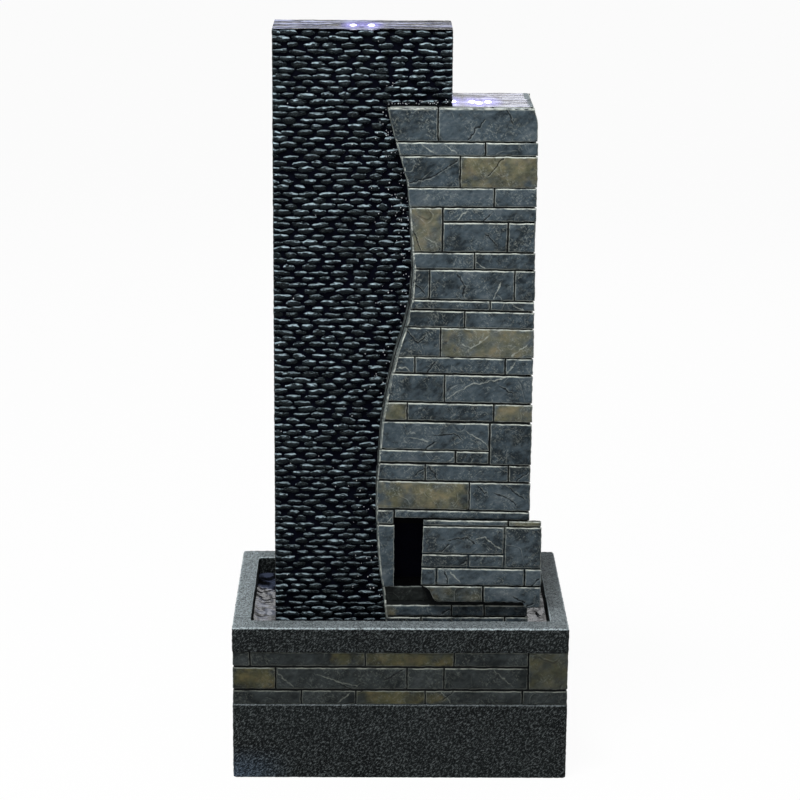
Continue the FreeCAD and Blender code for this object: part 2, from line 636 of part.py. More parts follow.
# Water outlets: threaded nozzle with a flange on the tray, a lock nut under it and a hose barb
OUTLETS = (("tall", "tall_outlet", "tall_height - tray_depth"),
           ("slate", "slate_outlet", "slate_height - well_depth"))
LINE = "-outlet_line"
STEM_DEPTH = " - tray_plate - nut_height - 2"
nozzles, nuts, housings, diodes, lenses = [], [], [], [], []
for side, across, deck in OUTLETS:
    stem = rod(side + "_stem", (across, LINE, deck + STEM_DEPTH), "nozzle_outer / 2",
               "tray_plate + nut_height + 2 + nozzle_rise")
    barb = rod(side + "_barb", (across, LINE, deck + STEM_DEPTH + " - barb_length"),
               "barb_outer / 2", "barb_length + 1")
    water_way = rod(side + "_water_way", (across, LINE, deck + STEM_DEPTH + " - barb_length - 1"),
                    "nozzle_bore / 2 - 0.5", "100")
    nozzles.append(cut(side + "_nozzle", joined(side + "_nozzle_body", [stem, barb]), [water_way]))
    hexed = hexagon(side + "_nut_body", (across, LINE, deck + " - tray_plate - nut_height"),
                    "nut_across / 2", "nut_height")
    thread = rod(side + "_nut_thread", (across, LINE, deck + " - tray_plate - nut_height - 1"),
                 "nozzle_outer / 2 + slip_gap", "nut_height + 2")
    nuts.append(cut(side + "_nut", hexed, [thread]))

    # Light ring: an annular cup with six diodes under a clear cover
    cup = tube(side + "_light_cup", (across, LINE, deck), "light_outer / 2", "light_inner / 2",
               "light_height")
    trough = tube(side + "_light_trough", (across, LINE, deck + " + light_wall"),
                  "light_outer / 2 - light_wall", "light_inner / 2 + light_wall", "light_height")
    wire_way = rod(side + "_light_wire_way",
                   (across + " + lead_across", LINE + " + lead_back", deck + " - 1"),
                   "lead_size / 2 + slip_gap", "light_wall + 2")
    housings.append(cut(side + "_light_housing", cup, [trough, wire_way]))
    for k in range(6):
        out = " + led_circle / 2 * %s(%d deg) - led_size / 2"
        diodes.append(block("%s_diode_%d" % (side, k + 1),
                            (across + out % ("cos", 60 * k + 30), LINE + out % ("sin", 60 * k + 30),
                             deck + " + light_wall"), ("led_size", "led_size", "led_height")))
    lenses.append(tube(side + "_light_lens", (across, LINE, deck + " + light_height"),
                       "light_outer / 2", "light_inner / 2", "lens_thick"))
for label, things in (("water_nozzles", nozzles), ("nozzle_nuts", nuts),
                      ("light_housings", housings), ("light_diodes", diodes),
                      ("light_lenses", lenses)):
    node(group(label, things), label)

# Tee: push-fit socket below, a barb up to the slate outlet and a barb across to the tall one
barrel = block("tee_barrel_block", ("slate_outlet - tee_barrel / 2",
                                    "-outlet_line - tee_barrel / 2", "tee_level - tee_half"),
               ("tee_barrel", "tee_barrel", "2 * tee_half"))
up_barb = rod("tee_up_barb", ("slate_outlet", "-outlet_line", "tee_level"), "barb_outer / 2",
              "tee_half + barb_length")
branch = rod("tee_branch_barb", ("slate_outlet - tee_barrel / 2 - barb_length", "-outlet_line",
                                 "tee_level"), "barb_outer / 2",
             "tee_barrel / 2 + barb_length", "x")
tee_way = rod("tee_way", ("slate_outlet", "-outlet_line", "tee_level - tee_half - 1"),
              "nozzle_bore / 2 - 0.5", "100")
socket = rod("tee_socket", ("slate_outlet", "-outlet_line", "tee_level - tee_half - 1"),
             "nozzle_outer / 2 + slip_gap", "tee_half - 3")
branch_way = rod("tee_branch_way", ("slate_outlet - tee_barrel / 2 - barb_length - 1",
                                    "-outlet_line", "tee_level"), "nozzle_bore / 2 - 0.5",
                 "tee_barrel / 2 + barb_length + 1", "x")
node(cut("hose_tee", joined("tee_body", [barrel, up_barb, branch]),
         [tee_way, socket, branch_way]), "hose_tee")


# Hoses: a straight riser to the slate outlet and a bent one to the tall outlet

def bent_rod(points, bend, radius):
    # A round rod of straight runs joined by quarter-ring bends.
    pieces = []
    start = points[0]
    for before, corner, after in zip(points, points[1:], points[2:]):
        one, two = (before - corner).normalize(), (after - corner).normalize()
        half = one.getAngle(two) / 2
        arc_start = corner + one * (bend / math.tan(half))
        arc_end = corner + two * (bend / math.tan(half))
        centre = corner + (one + two).normalize() * (bend / math.sin(half))
        pieces.append(Part.makeCylinder(radius, (arc_start - start).Length, start, one * -1))
        disc = Part.Face(Part.Wire(Part.makeCircle(radius, arc_start, one)))
        axis = (arc_start - centre).cross(one * -1)
        pieces.append(disc.revolve(centre, axis, 180 - math.degrees(2 * half)))
        start = arc_end
    last = points[-1] - start
    pieces.append(Part.makeCylinder(radius, last.Length, start, last))
    return pieces[0].fuse(pieces[1:]).removeSplitter()


hose_outer = size("hose_bore") / 2 + size("hose_wall")
tee_level, tall_x = size("tee_level"), size("tall_outlet")
tall_barb_foot = (size("tall_height") - size("tray_depth") - size("tray_plate")
                  - size("nut_height") - 2 - size("barb_length"))
slate_barb_foot = roof - size("nut_height") - 2 - size("barb_length")
overlap = size("barb_length") - 1
hose_points = [Vector(outlet_x - size("tee_barrel") / 2 - 1, outlet_y, tee_level),
               Vector(tall_x, outlet_y, tee_level),
               Vector(tall_x, outlet_y, tall_barb_foot + overlap)]
hose_bend = size("hose_bend")
tall_riser = bent_rod(hose_points, hose_bend, hose_outer)
feature("tall_riser_hose", tall_riser.cut(bent_rod(hose_points, hose_bend, size("hose_bore") / 2)))
riser_foot = tee_level + size("tee_half") + 1
riser_top = slate_barb_foot + overlap
riser = Part.makeCylinder(hose_outer, riser_top - riser_foot, Vector(outlet_x, outlet_y, riser_foot))
riser = riser.cut(Part.makeCylinder(size("hose_bore") / 2, 2000,
                                    Vector(outlet_x, outlet_y, riser_foot - 100)))
feature("slate_riser_hose", riser)

# Hose clamps: a band with a screw boss round each hose end
clamps = []
clamp_inner = hose_outer + size("slip_gap")
clamp_outer = clamp_inner + size("clamp_thick")
clamp_wide = size("clamp_width")
UP, ACROSS = Vector(0, 0, 1), Vector(-1, 0, 0)
clamp_spots = ((Vector(outlet_x, outlet_y, riser_foot + 5), UP),
               (Vector(outlet_x, outlet_y, riser_top - 5 - clamp_wide), UP),
               (Vector(tall_x, outlet_y, tall_barb_foot + overlap - 5 - clamp_wide), UP),
               (hose_points[0] + ACROSS * 5, ACROSS))
for spot, along in clamp_spots:
    ring = Part.makeCylinder(clamp_outer, clamp_wide, spot, along)
    middle = spot + along * (clamp_wide / 2) + Vector(0, -clamp_outer - 1.5, 0)
    boss = Part.makeBox(7, 5, clamp_wide - 1)
    boss.translate(Vector(-3.5, -2.5, -(clamp_wide - 1) / 2))
    if along == ACROSS:
        boss.rotate(Vector(), Vector(0, 1, 0), 90)
    boss.translate(middle)
    ring = ring.fuse(boss)
    clamps.append(ring.cut(Part.makeCylinder(clamp_inner, clamp_wide + 2, spot - along, along)))
feature("hose_clamps", Part.makeCompound(clamps))

# Pump: housing with the motor block, rotor bore and volute chamber, on four suction cups
PUMP_LOW = "well_floor + cup_height"
AXIS_LEVEL = "well_floor + cup_height + pump_height / 2"
HOUSING_FRONT = "-pump_front + cover_length"
housing = body("pump_housing")
outline = sketch(housing, "XZ_Plane", "pump_outline", "pump_front - cover_length")
rectangle(outline, "slate_outlet - pump_width / 2", PUMP_LOW,
          "slate_outlet + pump_width / 2", PUMP_LOW + " + pump_height")
pad(housing, outline, "motor_length", True)


def housing_edges():
    picked = []
    for number, edge in enumerate(housing.Shape.Edges, start=1):
        box = edge.BoundBox
        low_edge = size("well_floor") + size("cup_height")
        on_side = abs(abs(box.XMin - size("slate_outlet")) - size("pump_width") / 2) < 0.01
        on_end = min(abs(box.ZMin - low_edge),
                     abs(box.ZMin - low_edge - size("pump_height"))) < 0.01
        if on_side and on_end and box.YLength > 20 and box.XLength < 0.01:
            picked.append("Edge%d" % number)
    return picked


round_edges(housing, "pump_rounded", housing_edges(), "1.5 * pump_wall")

chamber = sketch(housing, "XZ_Plane", "pump_chamber", "pump_front - cover_length")
circle(chamber, "slate_outlet", AXIS_LEVEL, "chamber_size / 2")
pocket(housing, chamber, "chamber_length")
rotor_well = sketch(housing, "XZ_Plane", "pump_rotor_well", "pump_front - cover_length")
circle(rotor_well, "slate_outlet", AXIS_LEVEL, "rotor_size / 2 + rotor_gap")
pocket(housing, rotor_well, "chamber_length + rotor_length - blade_length + bush_length")
outlet = sketch(housing, "XY_Plane", "pump_outlet_hole", PUMP_LOW + " + pump_height")
circle(outlet, "slate_outlet", "-outlet_line", "nozzle_bore / 2")
pocket(housing, outlet, "pump_height / 2")


spigot = rod("outlet_tube", ("slate_outlet", "-outlet_line", PUMP_LOW + " + pump_height"),
             "nozzle_outer / 2", "tee_level - 4 - well_floor - cup_height - pump_height")
flange = rod("outlet_flange", ("slate_outlet", "-outlet_line", PUMP_LOW + " + pump_height"),
             "nozzle_outer / 2 + 4", "3")
spigot_way = rod("outlet_way", ("slate_outlet", "-outlet_line", PUMP_LOW + " + pump_height - 1"),
                 "nozzle_bore / 2", "100")
node(cut("pump_outlet", joined("outlet_body", [spigot, flange]), [spigot_way]), "pump_outlet")

# Suction cups under the four corners of the pump
cups = []
for k, (dx, dy) in enumerate(((-1, -1), (1, -1), (-1, 1), (1, 1))):
    across = "slate_outlet + %d * (pump_width / 2 - cup_size / 2)" % dx
    along = HOUSING_FRONT + (" + cup_size / 2" if dy < 0 else " + motor_length - cup_size / 2")
    cups.append(cone("suction_cup_%d" % (k + 1), (across, along, "well_floor"), "cup_size / 2",
                     "cup_size / 4", "cup_height"))
node(group("suction_cups", cups), "suction_cups")

# Front plate of the chamber: it carries the shaft's front bush and lets water in round it
plate = body("chamber_plate")
disc = sketch(plate, "XZ_Plane", "plate_outline", "pump_front - cover_length + pump_wall")
circle(disc, "slate_outlet", AXIS_LEVEL, "chamber_size / 2 + 2")
pad(plate, disc, "pump_wall", True)
bush_seat = sketch(plate, "XZ_Plane", "plate_bush_seat", "pump_front - cover_length + pump_wall")
circle(bush_seat, "slate_outlet", AXIS_LEVEL, "bush_outer / 2 + slip_gap")
pocket(plate, bush_seat, "2 * pump_wall")
inlet = sketch(plate, "XZ_Plane", "plate_inlets", "pump_front - cover_length + pump_wall")
for dx, dz in ((1, 0), (-1, 0), (0, 1), (0, -1)):
    middle_x = "slate_outlet + %d * (bush_outer / 2 + 5)" % dx
    middle_z = AXIS_LEVEL + " + %d * (bush_outer / 2 + 5)" % dz
    rectangle(inlet, middle_x + " - 2.5", middle_z + " - 2.5", middle_x + " + 2.5",
              middle_z + " + 2.5")
pocket(plate, inlet, "2 * pump_wall")

# Front cover: a slotted cap over the inlet, with a track for the flow regulator
cover = body("pump_cover")
outline = sketch(cover, "XZ_Plane", "cover_outline", "pump_front")
rectangle(outline, "slate_outlet - pump_width / 2", PUMP_LOW,
          "slate_outlet + pump_width / 2", PUMP_LOW + " + pump_height")
pad(cover, outline, "cover_length", True)
inside = sketch(cover, "XZ_Plane", "cover_inside", "pump_front - pump_wall")
rectangle(inside, "slate_outlet - pump_width / 2 + pump_wall", PUMP_LOW + " + pump_wall",
          "slate_outlet + pump_width / 2 - pump_wall", PUMP_LOW + " + pump_height - pump_wall")
pocket(cover, inside, "cover_length")
grille = sketch(cover, "XZ_Plane", "cover_grille", "pump_front + 1")
for k in range(7):
    middle = "slate_outlet + %d * 2 * grille_slot" % (k - 3)
    rectangle(grille, middle + " - grille_slot / 2", PUMP_LOW + " + 3 * pump_wall",
              middle + " + grille_slot / 2", PUMP_LOW + " + pump_height - 8 * pump_wall")
pocket(cover, grille, "2 * pump_wall")
track = sketch(cover, "XZ_Plane", "cover_track", "pump_front + 1")
rectangle(track, "slate_outlet - regulator_travel / 2 - 2.3",
          PUMP_LOW + " + pump_height - 5.5 * pump_wall", "slate_outlet + regulator_travel / 2 + 2.3",
          PUMP_LOW + " + pump_height - 3 * pump_wall")
pocket(cover, track, "2 * pump_wall")

# Flow regulator: a shutter behind the grille, moved by a thumb nib that stands through the track
shutter = block("regulator_shutter",
                ("slate_outlet + regulator_travel / 2 - regulator_width / 2",
                 "-pump_front + pump_wall + 0.3", PUMP_LOW + " + 2 * pump_wall"),
                ("regulator_width", "1.5", "pump_height - 4.5 * pump_wall"))
nib = block("regulator_nib", ("slate_outlet + regulator_travel / 2 - 2", "-pump_front - 4",
                              PUMP_LOW + " + pump_height - 5.5 * pump_wall + 0.3"),
            ("4", "pump_wall + 5", "2.5 * pump_wall - 0.6"))
node(joined("flow_regulator", [shutter, nib]), "flow_regulator")

# Shaft, its rubber bushes and the impeller with its magnet rotor
SHAFT_FRONT = HOUSING_FRONT + " - pump_wall"
ROTOR_END = HOUSING_FRONT + " + chamber_length + rotor_length - blade_length + bush_length"
node(rod("pump_shaft", ("slate_outlet", SHAFT_FRONT + " + 0.2", AXIS_LEVEL), "shaft_size / 2",
         "pump_wall + chamber_length + rotor_length - blade_length + bush_length - 0.4", "y"),
     "pump_shaft")
front_bush = tube("front_bush", ("slate_outlet", SHAFT_FRONT, AXIS_LEVEL), "bush_outer / 2",
                  "shaft_size / 2 + slip_gap", "pump_wall", "y")
back_bush = tube("back_bush", ("slate_outlet", ROTOR_END + " - bush_length", AXIS_LEVEL),
                 "rotor_size / 2 + rotor_gap - slip_gap", "shaft_size / 2 + slip_gap",
                 "bush_length", "y")
node(group("shaft_bushes", [front_bush, back_bush]), "shaft_bushes")

wheel = body("impeller")
BLADE_BACK = HOUSING_FRONT + " + chamber_length - 1.5"
rotor = sketch(wheel, "XZ_Plane", "rotor_round")
circle(rotor, "0", "0", "rotor_size / 2")
pad(wheel, rotor, "rotor_length - blade_length + 1", True)
hub = sketch(wheel, "XZ_Plane", "hub_round")
circle(hub, "0", "0", "blade_size / 2 - 2")
pad(wheel, hub, "1.5")
core = sketch(wheel, "XZ_Plane", "core_round")
circle(core, "0", "0", "shaft_size / 2 + 2.5")
pad(wheel, core, "chamber_length - 2")
blade = sketch(wheel, "XZ_Plane", "blade_outline")
rectangle(blade, "shaft_size / 2 + 1", "-0.9", "blade_size / 2", "0.9")
blade_pad = pad(wheel, blade, "blade_length + 1.5")
blades = wheel.newObject("PartDesign::PolarPattern", "impeller_blades")
blades.Originals = [blade_pad]
blades.Axis = (blade, ["N_Axis"])
blades.Angle = 360
blades.Occurrences = 6
wheel.Tip = blades
doc.recompute()
shaft_bore = sketch(wheel, "XZ_Plane", "impeller_bore", "chamber_length")
circle(shaft_bore, "0", "0", "shaft_size / 2 + shaft_gap")
pocket(wheel, shaft_bore, "chamber_length + rotor_length + 2")
place(wheel, "slate_outlet", BLADE_BACK, AXIS_LEVEL)

# Inner wiring: leads from both light rings and the pump to a sealed splice on the inner wall
splice_left = "slate_right - facing_bed - stone_relief - resin_wall - splice_width"
node(block("cable_splice", (splice_left, "-outlet_line + lead_back - splice_depth / 2",
                            "splice_level"),
           ("splice_width", "splice_depth", "splice_height")), "cable_splice")
lead_y = outlet_y + size("lead_back")
splice_x = right_in - size("splice_width")
splice_low = size("splice_level")
lead_radius, bend = size("lead_size") / 2, size("lead_bend")
inside_cup = size("light_wall")
tall_deck = size("tall_height") - size("tray_depth")
lead_x = tall_x + size("lead_across")
lead_level = splice_low + size("splice_height") / 2
feature("tall_light_lead", bent_rod([
    Vector(lead_x, lead_y, tall_deck + inside_cup), Vector(lead_x, lead_y, lead_level),
    Vector(splice_x, lead_y, lead_level)], bend, lead_radius))
deck_to_splice = "slate_height - well_depth + light_wall - splice_level - splice_height"
node(rod("slate_light_lead", ("slate_outlet + lead_across", "-outlet_line + lead_back",
                              "splice_level + splice_height"), "lead_size / 2", deck_to_splice),
     "slate_light_lead")
pump_top = "well_floor + cup_height + pump_height"
node(rod("pump_lead", ("slate_outlet + pump_width / 2 - 8", "-outlet_line + lead_back", pump_top),
         "lead_size / 2", "splice_level - (" + pump_top + ")"), "pump_lead")

# Rubber grommet where the supply lead leaves through the back wall, above the rim
wall_in = "slate_back - resin_wall"
neck = rod("grommet_neck", ("grommet_line", wall_in + " - grommet_lip", "grommet_level"),
           "grommet_hole / 2 - slip_gap", "resin_wall + 2 * grommet_lip", "y")
lip_out = rod("grommet_lip_out", ("grommet_line", "slate_back", "grommet_level"),
              "grommet_flange / 2", "grommet_lip", "y")
wire_way = rod("grommet_way", ("grommet_line", wall_in + " - grommet_lip - 1", "grommet_level"),
               "grommet_bore / 2", "resin_wall + 2 * grommet_lip + 2", "y")
node(cut("cable_grommet", joined("grommet_body", [neck, lip_out]), [wire_way]),
     "cable_grommet")

doc.recompute()
os.makedirs("parts", exist_ok=True)
faults = [item.Name for item in doc.Objects
          if any(flag in item.State for flag in ("Invalid", "Error"))]
for piece in NODES:
    shape = piece.Shape
    if shape.isNull() or not shape.isValid() or not shape.Solids:
        faults.append(piece.Label)
if faults:
    raise RuntimeError("these objects failed: " + ", ".join(faults))
for piece in NODES:
    piece.Shape.exportStep("parts/%s.step" % piece.Label)
    box = piece.Shape.BoundBox
    print("%-22s solids %2d  volume %9.0f  x %7.1f %7.1f  y %7.1f %7.1f  z %7.1f %7.1f" % (
        piece.Label, len(piece.Shape.Solids), piece.Shape.Volume,
        box.XMin, box.XMax, box.YMin, box.YMax, box.ZMin, box.ZMax))
print(len(NODES), "nodes")
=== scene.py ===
import bpy
import math
import random
import numpy as np
from mathutils import Matrix, Vector


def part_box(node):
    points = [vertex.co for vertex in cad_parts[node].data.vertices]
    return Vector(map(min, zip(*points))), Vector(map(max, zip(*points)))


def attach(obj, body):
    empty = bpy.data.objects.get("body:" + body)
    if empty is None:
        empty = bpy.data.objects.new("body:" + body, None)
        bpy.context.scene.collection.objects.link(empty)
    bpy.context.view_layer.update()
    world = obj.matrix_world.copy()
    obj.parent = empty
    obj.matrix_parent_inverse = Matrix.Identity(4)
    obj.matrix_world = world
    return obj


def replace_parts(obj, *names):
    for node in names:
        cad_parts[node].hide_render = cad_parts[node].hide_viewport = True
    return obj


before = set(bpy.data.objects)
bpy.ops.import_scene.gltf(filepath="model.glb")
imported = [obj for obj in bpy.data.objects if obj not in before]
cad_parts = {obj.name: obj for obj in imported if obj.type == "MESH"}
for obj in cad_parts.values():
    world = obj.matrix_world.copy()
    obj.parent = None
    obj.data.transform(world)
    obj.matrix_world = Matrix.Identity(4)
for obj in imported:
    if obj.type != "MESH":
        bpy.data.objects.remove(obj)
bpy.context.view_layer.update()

# The millimetre that every length below is written in.
MM = 0.001
scene = bpy.context.scene
scene.view_settings.view_transform = "Standard"

# Camera
# A long lens a little above the tops, turned slightly towards the slate column, as fitted to
# the corners of the basin's rim and foot.
view = bpy.data.cameras.new("viewpoint")
view.sensor_width = 36.0
view.lens = 112.74
viewpoint = bpy.data.objects.new("viewpoint", view)
scene.collection.objects.link(viewpoint)
DOWN, ASIDE, ROLLED = 15.661, 0.634, 0.439
viewpoint.matrix_world = (Matrix.Translation(Vector((-33.7, -2923.7, 1253.3)) * MM)
                          @ Matrix.Rotation(math.radians(-ASIDE), 4, "Z")
                          @ Matrix.Rotation(math.radians(90 - DOWN), 4, "X")
                          @ Matrix.Rotation(math.radians(ROLLED), 4, "Z"))
scene.camera = viewpoint


# Room
# A pale floor and a white surround, with one broad soft lamp over the front and weaker ones at
# the sides. The eye and mirror-like surfaces see white; the light itself stays at a plain level.
def tree_of(owner):
    owner.use_nodes = True
    owner.node_tree.nodes.clear()
    return owner.node_tree


def add_node(tree, kind, inputs=(), **settings):
    made = tree.nodes.new(kind)
    for key, value in settings.items():
        setattr(made, key, value)
    for key, value in dict(inputs).items():
        value = getattr(value, "socket", value)
        if isinstance(value, bpy.types.NodeSocket):
            tree.links.new(value, made.inputs[key])
        else:
            made.inputs[key].default_value = value
    return made


def shown_as(tree, share, in_light, to_the_eye, end):
    # share: how much of to_the_eye the eye, a mirror and glass get in place of in_light
    path = add_node(tree, "ShaderNodeLightPath").outputs
    seen = path["Is Camera Ray"]
    for kind, other in (("MAXIMUM", path["Is Glossy Ray"]),
                        ("MAXIMUM", path["Is Transmission Ray"]), ("MULTIPLY", share)):
        seen = add_node(tree, "ShaderNodeMath", {0: seen, 1: other}, operation=kind).outputs[0]
    both = add_node(tree, "ShaderNodeMixShader", {0: seen, 1: in_light.outputs[0],
                                                  2: to_the_eye.outputs[0]})
    add_node(tree, end, {"Surface": both.outputs[0]})


WHITE = (1, 1, 1, 1)
room = bpy.data.worlds.new("room")
scene.world = room
tree = tree_of(room)
daylight, surround = (add_node(tree, "ShaderNodeBackground", {"Color": WHITE, "Strength": strength})
                      for strength in (0.25, 1.0))
shown_as(tree, 1.0, daylight, surround, "ShaderNodeOutputWorld")

FLOOR_HALF, FLOOR_SHARE = 40.0, 0.955
floor_mesh = bpy.data.meshes.new("floor")
floor_mesh.from_pydata([(-FLOOR_HALF, -FLOOR_HALF, 0), (FLOOR_HALF, -FLOOR_HALF, 0),
                        (FLOOR_HALF, FLOOR_HALF, 0), (-FLOOR_HALF, FLOOR_HALF, 0)],
                       [], [(0, 1, 2, 3)])
floor = bpy.data.objects.new("floor", floor_mesh)
scene.collection.objects.link(floor)
pale_floor = bpy.data.materials.new("pale_floor")
tree = tree_of(pale_floor)
shown_as(tree, FLOOR_SHARE, add_node(tree, "ShaderNodeBsdfDiffuse", {"Color": (0.8, 0.8, 0.8, 1)}),
         add_node(tree, "ShaderNodeEmission", {"Color": WHITE, "Strength": 1.0}),
         "ShaderNodeOutputMaterial")
floor_mesh.materials.append(pale_floor)

for name, place, aim, size, watts in (
        ("overhead", (-0.4, -0.9, 2.75), (0, 0, 0.5), (0.9, 0.45), 70),
        ("left_fill", (-2.6, -2.2, 1.4), (0, 0, 0.4), (1.6, 1.6), 8),
        ("right_fill", (2.8, -1.6, 1.2), (0, 0, 0.4), (1.4, 1.4), 6),
        ("rear_fill", (0.4, 2.6, 1.8), (0, 0, 0.5), (1.6, 1.2), 16)):
    lamp = bpy.data.lights.new(name, "AREA")
    lamp.shape = "RECTANGLE"
    lamp.size, lamp.size_y = size
    lamp.energy = watts
    holder = bpy.data.objects.new(name, lamp)
    holder.location = place
    holder.rotation_euler = (Vector(aim) - Vector(place)).to_track_quat("-Z", "Y").to_euler()
    scene.collection.objects.link(holder)


# Basin
# The real tub is cast resin with a hammered skin: four walls, a broad flat rim and a recess for
# the stone band on the front and both sides. One ring of points is lofted over the rim and down
# into the well, and the hammer marks are pressed into it along its normals.
STEPS_X, STEPS_Y, STEPS_CORNER = 235, 160, 4


def ring(half_x, half_y, corner):
    # Points round a rectangle with rounded corners, from the front left
    points = []
    start = (-half_x + corner, -half_y)
    for x, y, angle, steps in ((half_x, -half_y, -90, STEPS_X), (half_x, half_y, 0, STEPS_Y),
                               (-half_x, half_y, 90, STEPS_X), (-half_x, -half_y, 180, STEPS_Y)):
        middle = (x - math.copysign(corner, x), y - math.copysign(corner, y))
        turns = [math.radians(angle + 90 * k / STEPS_CORNER) for k in range(STEPS_CORNER + 1)]
        bend = [(middle[0] + corner * math.cos(turn), middle[1] + corner * math.sin(turn))
                for turn in turns]
        points += [(start[0] + (bend[0][0] - start[0]) * k / steps,
                    start[1] + (bend[0][1] - start[1]) * k / steps) for k in range(steps)]
        points += bend[:-1]
        start = bend[-1]
    return np.array(points)


def grid_faces(tall, wide, first=0):
    # Four-sided faces over rows of points
    corner = (np.arange(tall - 1)[:, None] * wide + np.arange(wide - 1)).ravel() + first
    return np.stack([corner, corner + 1, corner + wide + 1, corner + wide], 1)


def loft(rows):
    # rows: equal closed rings of points. The end rings are capped.
    count = len(rows[0])
    points = np.concatenate(rows)
    here = np.arange(count)
    after = (here + 1) % count
    faces = [np.stack([here + r * count, after + r * count, after + (r + 1) * count,
                       here + (r + 1) * count], 1) for r in range(len(rows) - 1)]
    caps = [tuple(range(count))[::-1], tuple(range(len(points) - count, len(points)))]
    return points, np.concatenate(faces), caps


def add_mesh(name, points, faces=(), material=None, caps=(), **marks):
    mesh = bpy.data.meshes.new(name)
    listed = [tuple(face) for face in np.asarray(faces).tolist()] + list(caps)
    mesh.from_pydata((np.asarray(points, float) * MM).tolist(), [], listed)
    for key, values in marks.items():
        layer = mesh.attributes.new(key, "FLOAT", "POINT")
        layer.data.foreach_set("value", np.full(len(points), values, np.float32))
    mesh.shade_smooth()
    if material:
        mesh.materials.append(material)
    piece = bpy.data.objects.new(name, mesh)
    scene.collection.objects.link(piece)
    return piece


def hold(piece, body="fountain"):
    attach(piece, body)
    return piece


def add_piece(name, points, faces, material, slot, body="fountain", caps=(), **marks):
    return hold(add_mesh(name, points, faces, material, caps, **marks), body)


class Field:
    # One value in a node tree. Sums, products and | (the larger of two) add the node that
    # works them out.
    def __init__(self, tree, socket):
        self.tree, self.socket = tree, socket

    def work(self, kind, other=0.0):
        return take(self.tree, "ShaderNodeMath", 0, {0: self, 1: other}, operation=kind)

    def __add__(self, other):
        return self.work("ADD", other)

    def __sub__(self, other):
        return self.work("SUBTRACT", other)

    def __mul__(self, other):
        return self.work("MULTIPLY", other)

    def __or__(self, other):
        return self.work("MAXIMUM", other)

    def __abs__(self):
        return self.work("ABSOLUTE")

    def fade(self, start, stop, low, high, kind="LINEAR"):
        # low where the value is at start, high where it is at stop
        return take(self.tree, "ShaderNodeMapRange", 0,
                    {0: self, 1: start, 2: stop, 3: low, 4: high}, interpolation_type=kind)

    def ramp(self, *stops):
        made = add_node(self.tree, "ShaderNodeValToRGB", {"Fac": self})
        band = made.color_ramp
        while len(band.elements) < len(stops):
            band.elements.new(0.5)
        for element, (spot, shade) in zip(band.elements, stops):
            element.position = spot
            element.color = (*shade, 1) if isinstance(shade, tuple) else (shade, shade, shade, 1)
        return Field(self.tree, made.outputs["Color"])

    def mix(self, one, two):
        # From colour one to colour two as the value goes from 0 to 1
        return blend(self.tree, self, one, two)

    def tint(self, other):
        return blend(self.tree, 1.0, self, other, "MULTIPLY")

    def vector(self, kind, other):
        name = "Scale" if kind == "SCALE" else 1
        return take(self.tree, "ShaderNodeVectorMath", 0, {0: self, name: other}, operation=kind)

    def length(self):
        return take(self.tree, "ShaderNodeVectorMath", "Value", {0: self}, operation="LENGTH")

    def axis(self, letter):
        return take(self.tree, "ShaderNodeSeparateXYZ", letter, {0: self})


def take(tree, kind, output, inputs=(), **settings):
    # One output of a new node
    return Field(tree, add_node(tree, kind, inputs, **settings).outputs[output])


def blend(tree, factor, one, two, mode="MIX"):
    one, two = ((*part, 1.0) if isinstance(part, tuple) else part for part in (one, two))
    return take(tree, "ShaderNodeMix", 2, {0: factor, 6: one, 7: two}, data_type="RGBA",
                blend_type=mode)


def new_tree(name, **sizes):
    # sizes: the tree's named inputs, each with its value or, without one, its kind
    tree = bpy.data.node_groups.new(name, "GeometryNodeTree")
    tree.interface.new_socket("Geometry", in_out="INPUT", socket_type="NodeSocketGeometry")
    for key, value in sizes.items():
        kind = value if isinstance(value, str) else type(value).__name__.title()
        socket = tree.interface.new_socket(key, in_out="INPUT", socket_type="NodeSocket" + kind)
        if kind != value:
            socket.default_value = value
    tree.interface.new_socket("Geometry", in_out="OUTPUT", socket_type="NodeSocketGeometry")
    enter = tree.nodes.new("NodeGroupInput").outputs
    return tree, {key: Field(tree, enter[key]) for key in ("Geometry", *sizes)}


def finish_tree(tree, geometry, material):
    real = take(tree, "GeometryNodeRealizeInstances", 0, {"Geometry": geometry})
    finished = take(tree, "GeometryNodeSetMaterial", 0, {"Geometry": real, "Material": material})
    add_node(tree, "NodeGroupOutput", {0: finished})


def apply_tree(piece, tree, **values):
    # The tree's result replaces the piece's mesh, and the modifier goes.
    step = piece.modifiers.new(tree.name, "NODES")
    step.node_group = tree
    for item in tree.interface.items_tree:
        if item.in_out == "INPUT" and item.name in values:
            step[item.identifier] = values[item.name]
    seen = bpy.context.evaluated_depsgraph_get()
    seen.update()
    result = bpy.data.meshes.new_from_object(piece.evaluated_get(seen), depsgraph=seen)
    piece.modifiers.clear()
    piece.data = result


# Hammer marks: shallow bowls between raised, slightly wandering ridges
hammered, given = new_tree("hammered", Dimple=3.3 * MM, Depth=0.9 * MM, Finish="Material")
where = take(hammered, "GeometryNodeInputPosition", 0)
normal = take(hammered, "GeometryNodeInputNormal", 0)
density = take(hammered, "ShaderNodeMath", 0, {0: 1.0, 1: given["Dimple"]}, operation="DIVIDE")
wander = take(hammered, "ShaderNodeTexNoise", "Color", {"Vector": where, "Scale": density,
                                                        "Detail": 2.0})
moved = where.vector("ADD", wander.vector("SCALE", 0.003))
bowls = take(hammered, "ShaderNodeTexVoronoi", "Distance", {"Vector": moved, "Scale": density})
height = (bowls - 0.45) * given["Depth"]
pressed = take(hammered, "GeometryNodeSetPosition", 0, {
    "Geometry": given["Geometry"], "Offset": normal.vector("SCALE", height)})
finish_tree(hammered, pressed, given["Finish"])


